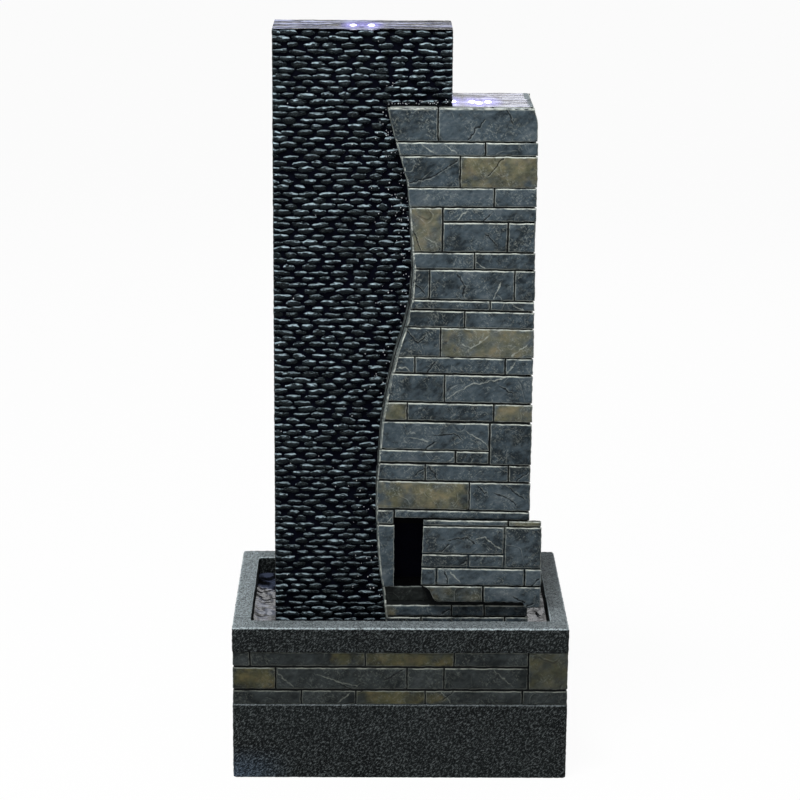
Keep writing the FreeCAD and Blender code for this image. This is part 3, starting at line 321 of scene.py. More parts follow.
class Paint:
    # A material made of noise on the object's own coordinates and of marks stored on its mesh
    def __init__(self, name):
        self.finish = bpy.data.materials.new(name)
        self.tree = tree_of(self.finish)
        self.spot = take(self.tree, "ShaderNodeTexCoord", "Object")

    def leaning(self, turn, stretch):
        return take(self.tree, "ShaderNodeMapping", 0, {
            "Vector": self.spot, "Rotation": turn, "Scale": stretch}, vector_type="TEXTURE")

    def noise(self, scale, detail=3.0, stretch=None, rough=0.55, place=None, own=None):
        # own: a number of each stone's own that changes the pattern
        place = place or self.spot
        if stretch:
            place = take(self.tree, "ShaderNodeMapping", 0, {"Vector": place, "Scale": stretch})
        inputs = {"Vector": place, "Scale": scale, "Detail": detail, "Roughness": rough}
        if own:
            inputs["W"] = own
        return take(self.tree, "ShaderNodeTexNoise", "Fac", inputs,
                    noise_dimensions="4D" if own else "3D")

    def mark(self, name):
        return take(self.tree, "ShaderNodeAttribute", "Fac", attribute_name=name)

    def upward(self):
        return take(self.tree, "ShaderNodeNewGeometry", "Normal").axis("Z")

    def surface(self, colour, roughness, sheen, bump=None, **fixed):
        # bump: height, strength and distance. fixed: other inputs of the shader by name.
        inputs = {"Base Color": colour, "Roughness": roughness, "Specular IOR Level": sheen}
        inputs.update((key.replace("_", " "), value) for key, value in fixed.items())
        if bump:
            inputs["Normal"] = take(self.tree, "ShaderNodeBump", 0, dict(zip(
                ("Height", "Strength", "Distance"), bump)))
        shader = take(self.tree, "ShaderNodeBsdfPrincipled", 0, inputs)
        add_node(self.tree, "ShaderNodeOutputMaterial", {"Surface": shader})
        return self.finish


def shaded(colour, share):
    return tuple(share * part for part in colour)


def hammered_resin(name, deep, mid, pale, top, scuffed=0.0, sheen=0.05):
    # Dark wash over slanting tool marks and dry-brushed pale paint caught on their ridges. Faces
    # that look up are painted lighter in the top colour, light from above and pale paint together,
    # and a painted highlight runs along the worn arrises. scuffed: blue-grey wear at the low left
    # corner.
    paint = Paint(name)
    strokes = paint.noise(900.0, 2.5, rough=0.6, place=paint.leaning((0, 0.8, 0.25), (1, 1, 2.9)))
    raised = strokes * 0.68 + paint.noise(300, rough=0.6) * 0.32
    wash = paint.noise(16, 4.0).ramp((0.35, 0.0), (0.7, 1.0)).mix(deep, mid)
    colour = raised.ramp((0.50, 0.0), (0.565, 0.5), (0.635, 1.0)).mix(wash, pale)
    lit_top_colour = raised.ramp((0.43, 0.0), (0.57, 1.0)).mix(shaded(top, 0.33), shaded(top, 1.8))
    height, upward = paint.spot.axis("Z"), paint.upward()
    if scuffed:
        across = paint.spot.axis("X")
        worn = (height.fade(0.0, 0.045, 1.0, 0.0, "SMOOTHSTEP")
                * across.fade(-0.205, -0.12, scuffed, 0.0, "SMOOTHSTEP")
                * raised.ramp((0.46, 0.12), (0.62, 1.0)))
        colour = worn.mix(colour, (0.13, 0.19, 0.28))
        # The left rim's upward faces are painted paler still than the rest.
        paler_left_rim = across.fade(-0.185, -0.17, 0.75, 0.0)
        lit_top_colour = paler_left_rim.mix(lit_top_colour, lit_top_colour.tint((1.5, 1.5, 1.5)))
    # Painted light and pale paint: faces that look up, above the band, turn lighter
    top_light_and_lime = (upward.ramp((0.2, 0.0), (0.5, 0.75), (0.8, 1.0), (0.97, 0.85))
             * height.fade(0.12, 0.17, 0.45, 1.0))
    # Painted highlight along the rounded arrises of the rim
    arris_highlight = (upward.ramp((0.34, 0.0), (0.5, 1.0), (0.78, 1.0), (0.9, 0.0))
             * raised.ramp((0.40, 0.1), (0.56, 1.0)) * height.fade(0.12, 0.17, 0.14, 1.0))
    colour = arris_highlight.mix(top_light_and_lime.mix(colour, lit_top_colour), tuple(min(0.8, 3.4 * part) for part in top))
    return paint.surface(colour, raised.ramp((0.3, 0.5), (0.7, 0.72)), sheen,
                         (raised, 1.0, 0.0028))


def box_of(name):
    return [np.array(corner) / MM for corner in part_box(name)]


def at_level(flat, z):
    return np.column_stack([flat, np.full(len(flat), z)])


HALF_X, HALF_Y, TOP = box_of("basin")[1]
RIM_SIDE, RIM_FRONT, CORNER, RIM_ROUND = 21.0, 26.0, 3.5, 3.0
RECESS, BAND_LOW, BAND_HIGH, BAND_BACK = 4.0, 94.0, 161.0, 114.0
WELL_FLOOR, UNDERSIDE, WALL, WELL_CORNER = 24.0, 18.5, 5.5, 5.0
outer = ring(HALF_X, HALF_Y, CORNER)
recessed = ring(HALF_X - RECESS, HALF_Y - RECESS, CORNER)
recessed = np.where((outer[:, 1] > BAND_BACK)[:, None], outer, recessed)
inner = ring(HALF_X - RIM_SIDE, HALF_Y - RIM_FRONT, WELL_CORNER)

# Underside and foot, wall, recess of the stone band, wall above it, then over the rim and down.
# The rings lie closest where the hammer marks show.
rows = [at_level(ring(HALF_X - WALL, HALF_Y - WALL, CORNER), z) for z in (UNDERSIDE, 0.0)]
rows.append(at_level(ring(HALF_X - 1, HALF_Y - 1, CORNER), 0.0))
rows += [at_level(outer, z) for z in np.linspace(1.0, BAND_LOW, 53)]
rows += [at_level(recessed, z) for z in np.linspace(BAND_LOW + 0.5, BAND_HIGH - 0.5, 5)]
rows += [at_level(outer, z) for z in np.linspace(BAND_HIGH, TOP - RIM_ROUND, 16)]
for degrees in (25, 50, 70, 90):
    turn = math.radians(degrees)
    back = RIM_ROUND * (1 - math.cos(turn))
    rows.append(at_level(ring(HALF_X - back, HALF_Y - back, CORNER),
                         TOP - RIM_ROUND + RIM_ROUND * math.sin(turn)))
edge = ring(HALF_X - RIM_ROUND, HALF_Y - RIM_ROUND, CORNER)
lip = ring(HALF_X - RIM_SIDE + 2, HALF_Y - RIM_FRONT + 2, WELL_CORNER)
rows += [at_level(edge + (lip - edge) * share, TOP) for share in np.linspace(0.1, 1, 10)]
rows.append(at_level(lip + (inner - lip) * 0.7, TOP - 0.7))
rows += [at_level(inner, z) for z in np.linspace(TOP - 2.2, TOP - 30, 14)]
rows += [at_level(inner, z) for z in np.linspace(TOP - 45, WELL_FLOOR, 5)]
points, faces, caps = loft(rows)
basin_skin = hammered_resin("basin_skin", (0.0025, 0.0034, 0.0038), (0.0075, 0.0098, 0.0103),
                            (0.110, 0.126, 0.128), (0.155, 0.180, 0.19), 0.7)


def hammered_piece(name, points, faces, finish, caps=()):
    piece = add_mesh(name, points, faces, finish, caps)
    apply_tree(piece, hammered, Finish=finish)
    return hold(piece)


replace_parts(hammered_piece("basin_tub", points, faces, basin_skin, caps), "basin")


# Stone band
# Courses of split slate set in the recess round the basin's front and both sides. Each stone is
# a cleft slab with chipped arrises and hairline cracks, a few of them ochre, over dark joints.
def cloud(u, v, size, seed, octaves, rough=0.5):
    # Smooth noise from about -1 to 1 with features of the given size.
    total, share = np.zeros(np.broadcast(u, v).shape), 1.0
    for octave in range(octaves):
        x = u / size + 17.31 * octave + seed * 3.713
        y = v / size + 9.17 * octave - seed * 1.937
        i, j = np.floor(x), np.floor(y)
        f, g = x - i, y - j

        def pull(a, b):
            turn = np.sin((i + a) * 127.1 + (j + b) * 311.7 + octave * 74.7) * 43758.5453
            turn = (turn - np.floor(turn)) * 2 * math.pi
            return np.cos(turn) * (f - a) + np.sin(turn) * (g - b)

        ease_f, ease_g = (w * w * w * (w * (6 * w - 15) + 10) for w in (f, g))
        low = pull(0, 0) * (1 - ease_f) + pull(1, 0) * ease_f
        high = pull(0, 1) * (1 - ease_f) + pull(1, 1) * ease_f
        total += share * 1.5 * (low * (1 - ease_g) + high * ease_g)
        share *= rough
        size = size / 2
    return total


def smooth(value, low, high):
    part = np.clip((value - low) / (high - low), 0, 1)
    return part * part * (3 - 2 * part)


FAR = 6.0


def line_distance(u, v, lines):
    # Signed distance to the nearest of some drawn lines, FAR or nearer
    best = np.full(u.shape, FAR)
    for line in lines:
        for (a, b), (c, d) in zip(line, line[1:]):
            length = math.hypot(c - a, d - b)
            along = np.clip(((u - a) * (c - a) + (v - b) * (d - b)) / length ** 2, 0, 1)
            gap = np.hypot(u - a - along * (c - a), v - b - along * (d - b))
            side = np.sign((c - a) * (v - b) - (d - b) * (u - a) + 1e-9)
            best = np.where(gap < np.abs(best), gap * side, best)
    return best


ARRIS = np.array([0.0, 0.0, 0.3, 0.9, 1.9])
MARGIN = ARRIS[-1]


def border_steps(length, step):
    # Share of the length, shift and rank from the border of each line of a stone's grid
    inside = max(2, round((length - 2 * MARGIN) / step))
    share = np.concatenate([np.zeros(5), np.arange(1, inside) / inside, np.ones(5)])
    shift = np.concatenate([ARRIS, np.full(inside - 1, MARGIN), 2 * MARGIN - ARRIS[::-1]])
    rank = np.minimum(np.arange(len(share)), np.arange(len(share))[::-1])
    return share, shift, rank


def crown_width(high):
    # The painted highlight along a stone's top is widest on the coping, narrowest on the lowest and
    # the top course of the band.
    if high > 800:
        return 0.6
    return 1.9 if high < 120 or 150 < high < 165 else 1.0


def line_of(side):
    # A stone's left or low side is a number or a function of the other direction.
    return side if callable(side) else lambda other: np.full(np.shape(other), float(side))


def split_stone(stone, bed, face, seed, step, cracks, seams):
    left, right, low, high, *tint = stone
    left_at, low_at = line_of(left), line_of(low)
    low_number = low
    if callable(low):
        low_number = min(float(low(np.array(right - 20.0))), float(low(np.array(right - 3.0))))
    left_number = float(np.mean(left_at(np.linspace(low_number, high, 9))))
    chance = random.Random(seed)
    width, tall = right - left_number, high - low_number
    share_u, shift_u, rank_u = border_steps(width, step)
    share_v, shift_v, rank_v = border_steps(tall, step)
    v = (low_number + shift_v + share_v * (tall - 2 * MARGIN))[:, None]
    start = left_at(v)
    u = start + shift_u + share_u * (right - start - 2 * MARGIN)
    v = v + (low_at(u) - low_number) * np.clip((high - v) / tall, 0, 1)
    rank = np.minimum(rank_u[None, :], rank_v[:, None])
    to_side = np.minimum(u - start, right - u)
    to_end = np.minimum(v - low_at(u), high - v)
    edge = np.minimum(to_side, to_end)
    # Hand-split outline, worn corners and a slight lean, then the cleft layers of the face
    u_worn = u + 0.45 * cloud(u, v, 9, 3, 2)
    v_worn = v + 0.4 * cloud(u, v, 11, 8, 2)
    chip = np.clip(cloud(u, v, 6.5, seed + 2, 3) * 1.5 - 0.12, 0, 1)
    corner = np.clip(1 - np.hypot(to_side, to_end) / 3.2, 0, 1)
    rim = smooth(1.9 - edge, 0, 1.9) * (0.35 + 1.1 * chip) + corner * 0.8
    lean = ((u - left_number) / width - 0.5) * chance.uniform(-0.5, 0.5) \
        + ((v - low_number) / tall - 0.5) * chance.uniform(-0.4, 0.6)
    layers = cloud(u + v * chance.uniform(-0.7, 0.7), v * 2.1, 44, seed, 2, 0.35) * 1.7 \
        + chance.uniform(0, 1)
    layer = np.floor(layers)
    part = layers - layer
    cleft = layer + smooth(part, 0.0, 0.22)
    fine = cloud(u, v, 3.4, seed + 9, 3, 0.6) * 0.13
    bent_u, bent_v = (way + 1.3 * cloud(u, v, 6, own, 3, 0.6) for way, own in ((u, 31), (v, 37)))
    crack = line_distance(bent_u, bent_v, cracks)
    seam = line_distance(bent_u, bent_v, seams)
    groove = 0.65 * np.exp(-(crack / 0.7) ** 2) - 0.22 * np.exp(-((crack - 1.5) / 0.8) ** 2) \
        - 0.35 * np.exp(-(seam / 0.8) ** 2)
    depth = face + chance.uniform(-0.25, 0.15) + lean + (cleft - 0.4) * 0.22 - 0.12 \
        + fine - rim - groove
    depth = np.where(rank == 0, bed - 0.1, np.where(rank == 1, np.minimum(depth, face - 0.9),
                                                    np.maximum(depth, bed + 0.5)))
    # Painted highlight at the top of each cleft step and painted shade at its foot
    cleft_light_and_shade = smooth(part, 0.02, 0.14) * smooth(0.36 - part, 0.0, 0.16) \
        - 0.9 * smooth(part, 0.72, 0.9) * smooth(1.0 - part, 0.0, 0.06)
    tone = chance.uniform(-0.5, 0.5) + 0.4 * cloud(u, v, 26, seed + 4, 2)
    ochre = np.zeros_like(u)
    for middle_u, middle_v, reach_u, reach_v, strength in tint:
        away = np.hypot((u - middle_u) / reach_u, (v - middle_v) / reach_v)
        ochre = np.maximum(ochre, strength * smooth(1.15 - away + 0.5 * cloud(u, v, 14, seed, 3),
                                                    0.0, 0.75))
    marks = {"tone": tone, "stone": float(seed % 97), "ochre": ochre, "crack": crack, "seam": seam,
             "edge": np.where(rank == 0, -1.0, edge), "cleft": cleft_light_and_shade,
             "crown": (high - v) * crown_width(high)}
    return u_worn, v_worn, depth, {key: np.broadcast_to(value, u.shape).ravel()
                                   for key, value in marks.items()}


UNMARKED = {"ochre": 0.0, "cleft": 0.0, "crack": FAR, "seam": FAR}
BED_MARKS = {"tone": 0.0, "stone": 0.0, "edge": -1.0, "crown": FAR, **UNMARKED}


def lay_stones(name, groups, finish, body="fountain", step=1.0, cracks=(), seams=(), beds=()):
    # groups: (place, bed depth, face depth, first seed, stones); place turns (u, v, depth) into
    # points. beds: plain dark plates behind the joints, each a grid of points.
    points, faces, caps, marks, total = [], [], [], {}, 0
    for place, bed, face, seed, stones in groups:
        for number, stone in enumerate(stones):
            u, v, depth, flat = split_stone(stone, bed, face, seed + number, step, cracks, seams)
            faces.append(grid_faces(*u.shape, total))
            grid = np.arange(u.size).reshape(u.shape) + total
            border = np.concatenate([grid[0], grid[1:, -1], grid[-1, -2::-1], grid[-2:0:-1, 0]])
            caps.append(tuple(border[::-1].tolist()))
            points.append(place(u.ravel(), v.ravel(), depth.ravel()))
            for key, value in flat.items():
                marks.setdefault(key, []).append(value)
            total += u.size
    for grid in beds:
        tall, wide = grid.shape[:2]
        faces.append(grid_faces(tall, wide, total))
        points.append(grid.reshape(-1, 3))
        for key, values in marks.items():
            values.append(np.full(tall * wide, BED_MARKS[key]))
        total += tall * wide
    marks = {key: np.concatenate(values) for key, values in marks.items()}
    return add_piece(name, np.concatenate(points), np.concatenate(faces), finish, "slate", body,
                     caps, **marks)


def patch(u, v, reach_u, reach_v, strength=1.0):
    # An ochre stain round one place
    return u, v, reach_u, reach_v, strength


def whole(left, right, low, high, strength):
    # An ochre stain over a whole stone
    return patch((left + right) / 2, (low + high) / 2, (right - left) * 0.75, (high - low) * 1.2,
                 strength)


GAP = 1.7


def course(low, high, left, right, joints, *stains):
    # One row of stones between two ends. stains: the number of a stone, with a strength or patch
    starts = [left] + [joint + GAP / 2 for joint in joints]
    stops = [joint - GAP / 2 for joint in joints] + [right]
    row = [[start, stop, low, high] for start, stop in zip(starts, stops)]
    for number, stain in stains:
        start, stop = row[number][:2]
        if isinstance(stain, float):
            stain = whole(-20.0 if callable(start) else start, stop, low, high, stain)
        row[number].append(stain)
    return row


def split_slate(name, dark=(0.0135, 0.0205, 0.0257), mid=(0.0395, 0.056, 0.0685),
                light=(0.091, 0.114, 0.130), pale=(0.50, 0.54, 0.49), rust=(1.12, 1.12, 1.14)):
    # Blue-grey stone with cloudy dark and light bands, ochre stains, white worn arrises and
    # hairline cracks drawn from the distances stored on the mesh, with painted highlights along
    # the stones' tops, the cleft steps and the crack lips and painted shade in the cracks.
    paint = Paint(name)
    noise = paint.noise
    stone, crack, edge, cleft = (paint.mark(key) for key in ("stone", "crack", "edge", "cleft"))
    own = stone * 0.37
    slow = noise(36.0, 2.5, rough=0.5, own=own)
    quick = noise(120, 3.0, (1, 1, 1.7), rough=0.5)
    slanted = paint.leaning((0.5, 0.85, 0), (1, 1, 4.5))
    brushed = noise(210.0, 2.0, rough=0.5, place=slanted, own=own)
    toned = slow * 0.47 + quick * 0.2 + brushed * 0.33 + paint.mark("tone") * 0.13
    colour = toned.ramp((0.41, dark), (0.495, mid), (0.56, shaded(mid, 1.35)), (0.67, light))
    rusty = noise(60, 4.0, rough=0.6).ramp((0.32, (0.062, 0.066, 0.040)),
                                           (0.5, (0.135, 0.130, 0.077)),
                                           (0.70, (0.205, 0.172, 0.098)))
    stain = paint.mark("ochre") * noise(48, 4.0).ramp((0.34, 0.25), (0.58, 0.95))
    colour = stain.mix(colour, rusty.tint(rust))
    # Fine pale scratches of the splitting, in clusters, leaning both ways
    crossed = paint.leaning((0.4, -0.7, 0), (1, 1, 5.0))
    one_way, other_way = (noise(scale, 2.0, rough=0.6, place=place, own=own).ramp(
        (0.55, 0.0), (0.66, 1.0)) for place, scale in ((slanted, 560.0), (crossed, 640.0)))
    scratches = (one_way | other_way) * noise(46).ramp((0.44, 0.03), (0.58, 0.24))
    # Worn pale arrises and a painted highlight along each stone's top, broken in streaks
    streak = noise(90, 4.0, (1, 1, 2.0), rough=0.65).ramp((0.36, 0.15), (0.54, 1.0))
    worn = edge.fade(1.3, 0.5, 0.0, 0.42) | paint.mark("crown").fade(1.5, 0.7, 0.0, 1.0)
    wear_and_highlight = (worn | cleft * 0.04) * streak
    # Hairlines where a slow noise passes a level, pale and dark side by side, in some places
    vein = noise(26.0, 1.2, rough=0.4, own=stone)
    where = noise(40, 2.0).ramp((0.52, 0.0), (0.60, 1.0))
    hair, dark_hair = (abs(vein - level).fade(0.007, 0.002, 0.0, strength) * where
                       for level, strength in ((0.53, 0.28), (0.548, 0.45)))
    seam = abs(paint.mark("seam")).fade(1.0, 0.2, 0.0, 0.6)
    # Painted highlight on the raised lip along one side of each crack
    lip = abs(crack - 1.3).fade(0.7, 0.2, 0.0, 0.22)
    lines = (seam | lip | hair) * quick.ramp((0.36, 0.3), (0.58, 1.0))
    colour = (wear_and_highlight | lines | scratches).mix(colour, pale)
    # Painted shade in the cracks and at the foot of the cleft steps, with the dark hairlines and the
    # near-black joints
    joints_and_painted_shade = (abs(crack).fade(1.0, 0.3, 0.0, 0.9) | edge.fade(0.12, -0.2, 0.0, 0.96)
              | dark_hair | cleft * -0.10)
    colour = joints_and_painted_shade.mix(colour, (0.004, 0.005, 0.006))
    # Near the basin the stone is a little darker.
    colour = colour.tint(paint.spot.axis("Z").fade(0.12, 0.55, 0.0, 1.0).ramp((0.0, 0.85),
                                                                              (1.0, 1.0)))
    grain = brushed * 0.75 + noise(900) * 0.25
    return paint.surface(colour, quick.ramp((0.3, 0.42), (0.7, 0.68)), 0.1, (grain, 0.7, 0.0014))


slate_skin = split_slate("slate_skin")
band_skin = split_slate("band_skin", (0.007, 0.010, 0.011), (0.020, 0.025, 0.026),
                        (0.048, 0.056, 0.058), (0.22, 0.24, 0.21), (0.57, 0.57, 0.46))


def facing_front(u, v, depth):
    return np.column_stack([u, -depth, v])


def facing_right(u, v, depth):
    return np.column_stack([depth, u, v])


def facing_left(u, v, depth):
    return np.column_stack([-depth, -u, v])


BAND_BED, BAND_FACE = 2.5, 0.5
BAND_TOP, BAND_MIDDLE, BAND_FOOT = (143.5, 160.4), (114.5, 140.8), (95, 111.6)
end = HALF_X - BAND_FACE
band_front = course(*BAND_TOP, -end, 151.5, (-179, -42, 64), (1, patch(-68, 152, 22, 11)),
                    (2, 0.9))
band_front += course(*BAND_MIDDLE, -end, 151.5, (-148.5, 8, 52), (0, 1.0))
band_front.append((153.7, end, 114.5, 160.4, whole(153, end, 114, 160, 0.75)))
band_front += course(*BAND_FOOT, -end, end, (-118, -53, 30, 146), (2, 0.95),
                     (3, patch(40, 103, 15, 9, 0.7)))
side_start, side_end = -(HALF_Y - BAND_BED), BAND_BACK - 0.6
groups = [(facing_front, HALF_Y - BAND_BED, HALF_Y - BAND_FACE, 11, band_front)]
for facing, start, stop, seed in ((facing_right, side_start, side_end, 60),
                                  (facing_left, -side_end, -side_start, 80)):
    stones = course(*BAND_TOP, start, stop, (start + 52, start + 148), (1, 0.8))
    stones += course(*BAND_MIDDLE, start, stop, (start + 91, start + 190), (0, 0.5))
    stones += course(*BAND_FOOT, start, stop, (start + 33, start + 120, start + 214), (2, 0.9))
    groups.append((facing, HALF_X - BAND_BED, HALF_X - BAND_FACE, seed, stones))
bed_x, bed_y = HALF_X - BAND_BED, HALF_Y - BAND_BED
bed_path = np.array([(-bed_x, BAND_BACK), (-bed_x, -bed_y), (bed_x, -bed_y), (bed_x, BAND_BACK)])
band_bed = np.stack([at_level(bed_path, z) for z in (BAND_LOW, BAND_HIGH)])
band_cracks = [[(-74, 122), (-56, 113)], [(-42, 113.5), (-49, 110)], [(64, 112), (52, 101)],
               [(3, 139), (-18, 126)]]
band_seams = [[(-98, 132.5), (-74, 124), (-52, 118)], [(-60, 109), (-74, 97)],
              [(49, 110), (60, 98)], [(112, 138), (131, 121)], [(-150, 138), (-128, 117)]]
band = lay_stones("stone_band", groups, band_skin, cracks=band_cracks, seams=band_seams,
                  beds=[band_bed])
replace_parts(band, "basin_stone_band")


# Tall column
# A cast resin box that stands in the basin, with a shallow tray at the top. Its sides and back
# carry the same hammered skin as the basin; the front is covered by the pebbles.
SHEET_STEP, SHEET_PROUD = 2.2, 0.55


def hammered_sheet(start, end, foot, head, cut=None):
    # A thin upright skin between two places of the plan, the start on the left from outside.
    # cut: two corners of a box in which the sheet is left open.
    corner = np.array([*start, foot])
    along, up = np.array([*end, foot]) - corner, np.array([0, 0, head - foot])
    wide, tall = (max(2, round(np.linalg.norm(way) / SHEET_STEP)) + 1 for way in (along, up))
    s, t = np.meshgrid(np.arange(wide) / (wide - 1), np.arange(tall) / (tall - 1))
    outward = np.cross(along, up)
    outward /= np.linalg.norm(outward)
    hem = (s == 0) | (s == 1) | (t == 0) | (t == 1)
    points = corner + s[..., None] * along + t[..., None] * up
    points = (points + outward * np.where(hem, 0.0, SHEET_PROUD)[..., None]).reshape(-1, 3)
    faces = grid_faces(tall, wide)
    if cut:
        centres = points[faces].mean(1)
        faces = faces[~((centres > cut[0]) & (centres < cut[1])).all(1)]
    return points, faces


def sheet_piece(name, *sheets):
    # Sheets as one piece, pressed with the hammer marks
    points, faces, total = [], [], 0
    for sheet_points, sheet_faces in sheets:
        points.append(sheet_points)
        faces.append(sheet_faces + total)
        total += len(sheet_points)
    return hammered_piece(name, np.concatenate(points), np.concatenate(faces), column_skin)


def dress(node, finish):
    # A CAD node that is kept gets its finish.
    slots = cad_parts[node].data.materials
    slots.clear()
    slots.append(finish)


column_skin = hammered_resin("column_skin", (0.007, 0.009, 0.010), (0.020, 0.024, 0.026),
                             (0.070, 0.078, 0.080), (0.085, 0.098, 0.105))
# The resin cores show only inside the doorway; they are painted near black, without sheen, as its
# shade
shaded_core_resin = hammered_resin("shaded_core_resin", (0.002, 0.0024, 0.0028), (0.006, 0.007, 0.008),
                            (0.016, 0.019, 0.020), (0.003, 0.0035, 0.004), sheen=0.0)
dress("tall_column", shaded_core_resin)
(tall_left, tall_front, _), (tall_right, tall_rear, tall_top) = box_of("tall_column")
SKIN_FOOT, ABOVE_SLATE = 60.0, 805.0
sheet_piece("tall_column_skin",
            hammered_sheet((tall_left, tall_rear), (tall_left, tall_front), SKIN_FOOT, tall_top),
            hammered_sheet((tall_right, tall_rear), (tall_left, tall_rear), SKIN_FOOT, tall_top),
            hammered_sheet((tall_right, tall_front), (tall_right, tall_rear), ABOVE_SLATE,
                           tall_top))


# Pebble facing
# Rows of flat black river pebbles bonded edge on over a dark bed, wet from the falling water.
# Each is a worn lens about 19 mm long; the rows are staggered and no two pebbles are alike.
paint = Paint("wet_pebble")
shade = paint.mark("shade")
mottle = paint.noise(260, 4.0, rough=0.65)
stone_black = (shade * 0.5 + mottle * 0.5).ramp(
    (0.25, (0.0016, 0.0022, 0.0042)), (0.6, (0.004, 0.006, 0.009)), (0.85, (0.009, 0.013, 0.017)))
crinkle = paint.noise(330, 3.0, (0.42, 1, 1.6), rough=0.6)
wavy_side = paint.upward() + (crinkle - 0.5) * 1.6
# Painted highlight on the upper sides, broken by the crinkles and dimmer low down
pebble_highlight = (crinkle.ramp((0.41, 0.05), (0.54, 1.0))
            * wavy_side.ramp((0.45, 0.0), (0.69, 1.0), (0.9, 0.9), (1.0, 0.4))
            * (shade * 0.6 + mottle * 0.4).ramp((0.2, 0.3), (0.7, 1.0))
            * paint.spot.axis("Z").fade(0.15, 0.45, 0.72, 1.0))
wet_pebble = paint.surface(pebble_highlight.mix(stone_black, (0.36, 0.47, 0.53)),
                           crinkle.ramp((0.35, 0.14), (0.7, 0.34)), 0.11,
                           (crinkle, 1.0, 0.0022), Specular_Tint=(0.80, 1.0, 0.96, 1.0))

PEBBLE_LONG, PEBBLE_TALL, PEBBLE_PITCH, ROW_PITCH = 21.0, 7.0, 23.5, 7.2
PEBBLE_BED, PEBBLE_BULGE, CORNER_PEBBLE = 57.6, 3.3, -57.2
COLUMN_LEFT, COLUMN_RIGHT, FIRST_ROW, ROWS_END, SLATE_TOP = -151.0, 55.0, 884.5, 150.0, 796.0
# The S-curve where pebbles and slate meet: height and distance across, rounded between
S_OUTER = np.array([(60, -17.5), (182, -17.7), (197, -19.4), (221, -21.8), (244, -25.8),
                    (276, -28.2), (309, -29.8), (321, -30.4), (356, -30.2), (395, -28.0),
                    (432, -25.2), (454, -21.6), (469.5, -19.4), (496, -13.6), (514.5, -9.3),
                    (537.5, -1.9), (553, 2.4), (577, 7.3), (614, 10.1), (637, 9.1), (686, 6.5),
                    (717.5, 3.6), (745, -4.0), (764, -9.9), (803, -19.7)])
level_line = np.arange(20, 821.0)
s_line = np.interp(level_line, S_OUTER[:, 0], S_OUTER[:, 1])
s_line = np.convolve(np.pad(s_line, 9, mode="edge"), np.hanning(21)[1:-1] / 10.0, mode="valid")


def s_curve(z):
    return np.interp(z, level_line, s_line)


def pebble_form():
    # One lens-shaped pebble of unit size, lying along X
    across, rows = 12, 7
    points, faces = [], []
    for i in range(1, rows):
        turn = math.pi * i / rows
        girth = math.sin(turn) ** 0.8
        for k in range(across):
            spin = 2 * math.pi * k / across
            points.append((-math.cos(turn) * 0.5, -math.cos(spin) * girth * 0.5,
                           math.sin(spin) * girth * 0.5))
    first, last, tail = len(points), len(points) + 1, (rows - 2) * across
    points += [(-0.5, 0, 0), (0.5, 0, 0)]
    for k in range(across):
        after = (k + 1) % across
        faces += [(i + k, i + after, i + across + after, i + across + k)
                  for i in range(0, tail, across)]
        faces += [(first, after, k), (last, tail + k, tail + after)]
    mesh = bpy.data.meshes.new("pebble")
    mesh.from_pydata(points, [], faces)
    mesh.shade_smooth()
    return bpy.data.objects.new("pebble", mesh)


def chance_between(tree, low, high, seed, step):
    # A random number or vector for each instance. The step keeps one draw apart from the next.
    vector = isinstance(low, tuple)
    first = 0 if vector else 2
    return take(tree, "FunctionNodeRandomValue", 0 if vector else 1,
                {first: low, first + 1: high, "Seed": seed + step},
                data_type="FLOAT_VECTOR" if vector else "FLOAT")


pebble_rows, given = new_tree("pebbles", Pebble="Object", Long=PEBBLE_LONG * MM,
                              Tall=PEBBLE_TALL * MM, Thick=2 * PEBBLE_BULGE * MM,
                              Left=COLUMN_LEFT * MM, Right=COLUMN_RIGHT * MM, Seed=4,
                              Finish="Material")
source = take(pebble_rows, "GeometryNodeObjectInfo", "Geometry", {"Object": given["Pebble"]})
spin = chance_between(pebble_rows, (-0.25, -0.10, -0.12), (0.25, 0.10, 0.12), given["Seed"], 1.0)
spread = chance_between(pebble_rows, (0.66, 0.80, 0.72), (1.14, 1.08, 1.12), given["Seed"], 2.0)
plain = take(pebble_rows, "ShaderNodeCombineXYZ", 0, {"X": given["Long"], "Y": given["Thick"],
                                                      "Z": given["Tall"]})
placed = take(pebble_rows, "GeometryNodeInstanceOnPoints", 0, {
    "Points": given["Geometry"], "Instance": source, "Rotation": spin,
    "Scale": spread.vector("MULTIPLY", plain)})
stored = take(pebble_rows, "GeometryNodeStoreNamedAttribute", 0, {
    "Geometry": placed, "Name": "shade",
    "Value": chance_between(pebble_rows, 0.0, 1.0, given["Seed"], 3.0)},
    data_type="FLOAT", domain="INSTANCE")
real = take(pebble_rows, "GeometryNodeRealizeInstances", 0, {"Geometry": stored})
where = take(pebble_rows, "GeometryNodeInputPosition", 0)
rough_stone = take(pebble_rows, "ShaderNodeTexNoise", "Color", {"Vector": where, "Scale": 190.0,
                                                                "Detail": 2.0})
shift = rough_stone.vector("SUBTRACT", (0.5, 0.5, 0.5)).vector("MULTIPLY", (0.007, 0.0045, 0.0050))
worn = take(pebble_rows, "GeometryNodeSetPosition", 0, {"Geometry": real, "Offset": shift})
# The end pebbles are ground flush with the column's sides
held = take(pebble_rows, "ShaderNodeClamp", 0, {"Value": where.axis("X"), "Min": given["Left"],
                                                "Max": given["Right"]})
flush = take(pebble_rows, "ShaderNodeCombineXYZ", 0, {"X": held, "Y": where.axis("Y"),
                                                      "Z": where.axis("Z")})
trimmed = take(pebble_rows, "GeometryNodeSetPosition", 0, {"Geometry": worn, "Position": flush})
finish_tree(pebble_rows, trimmed, given["Finish"])

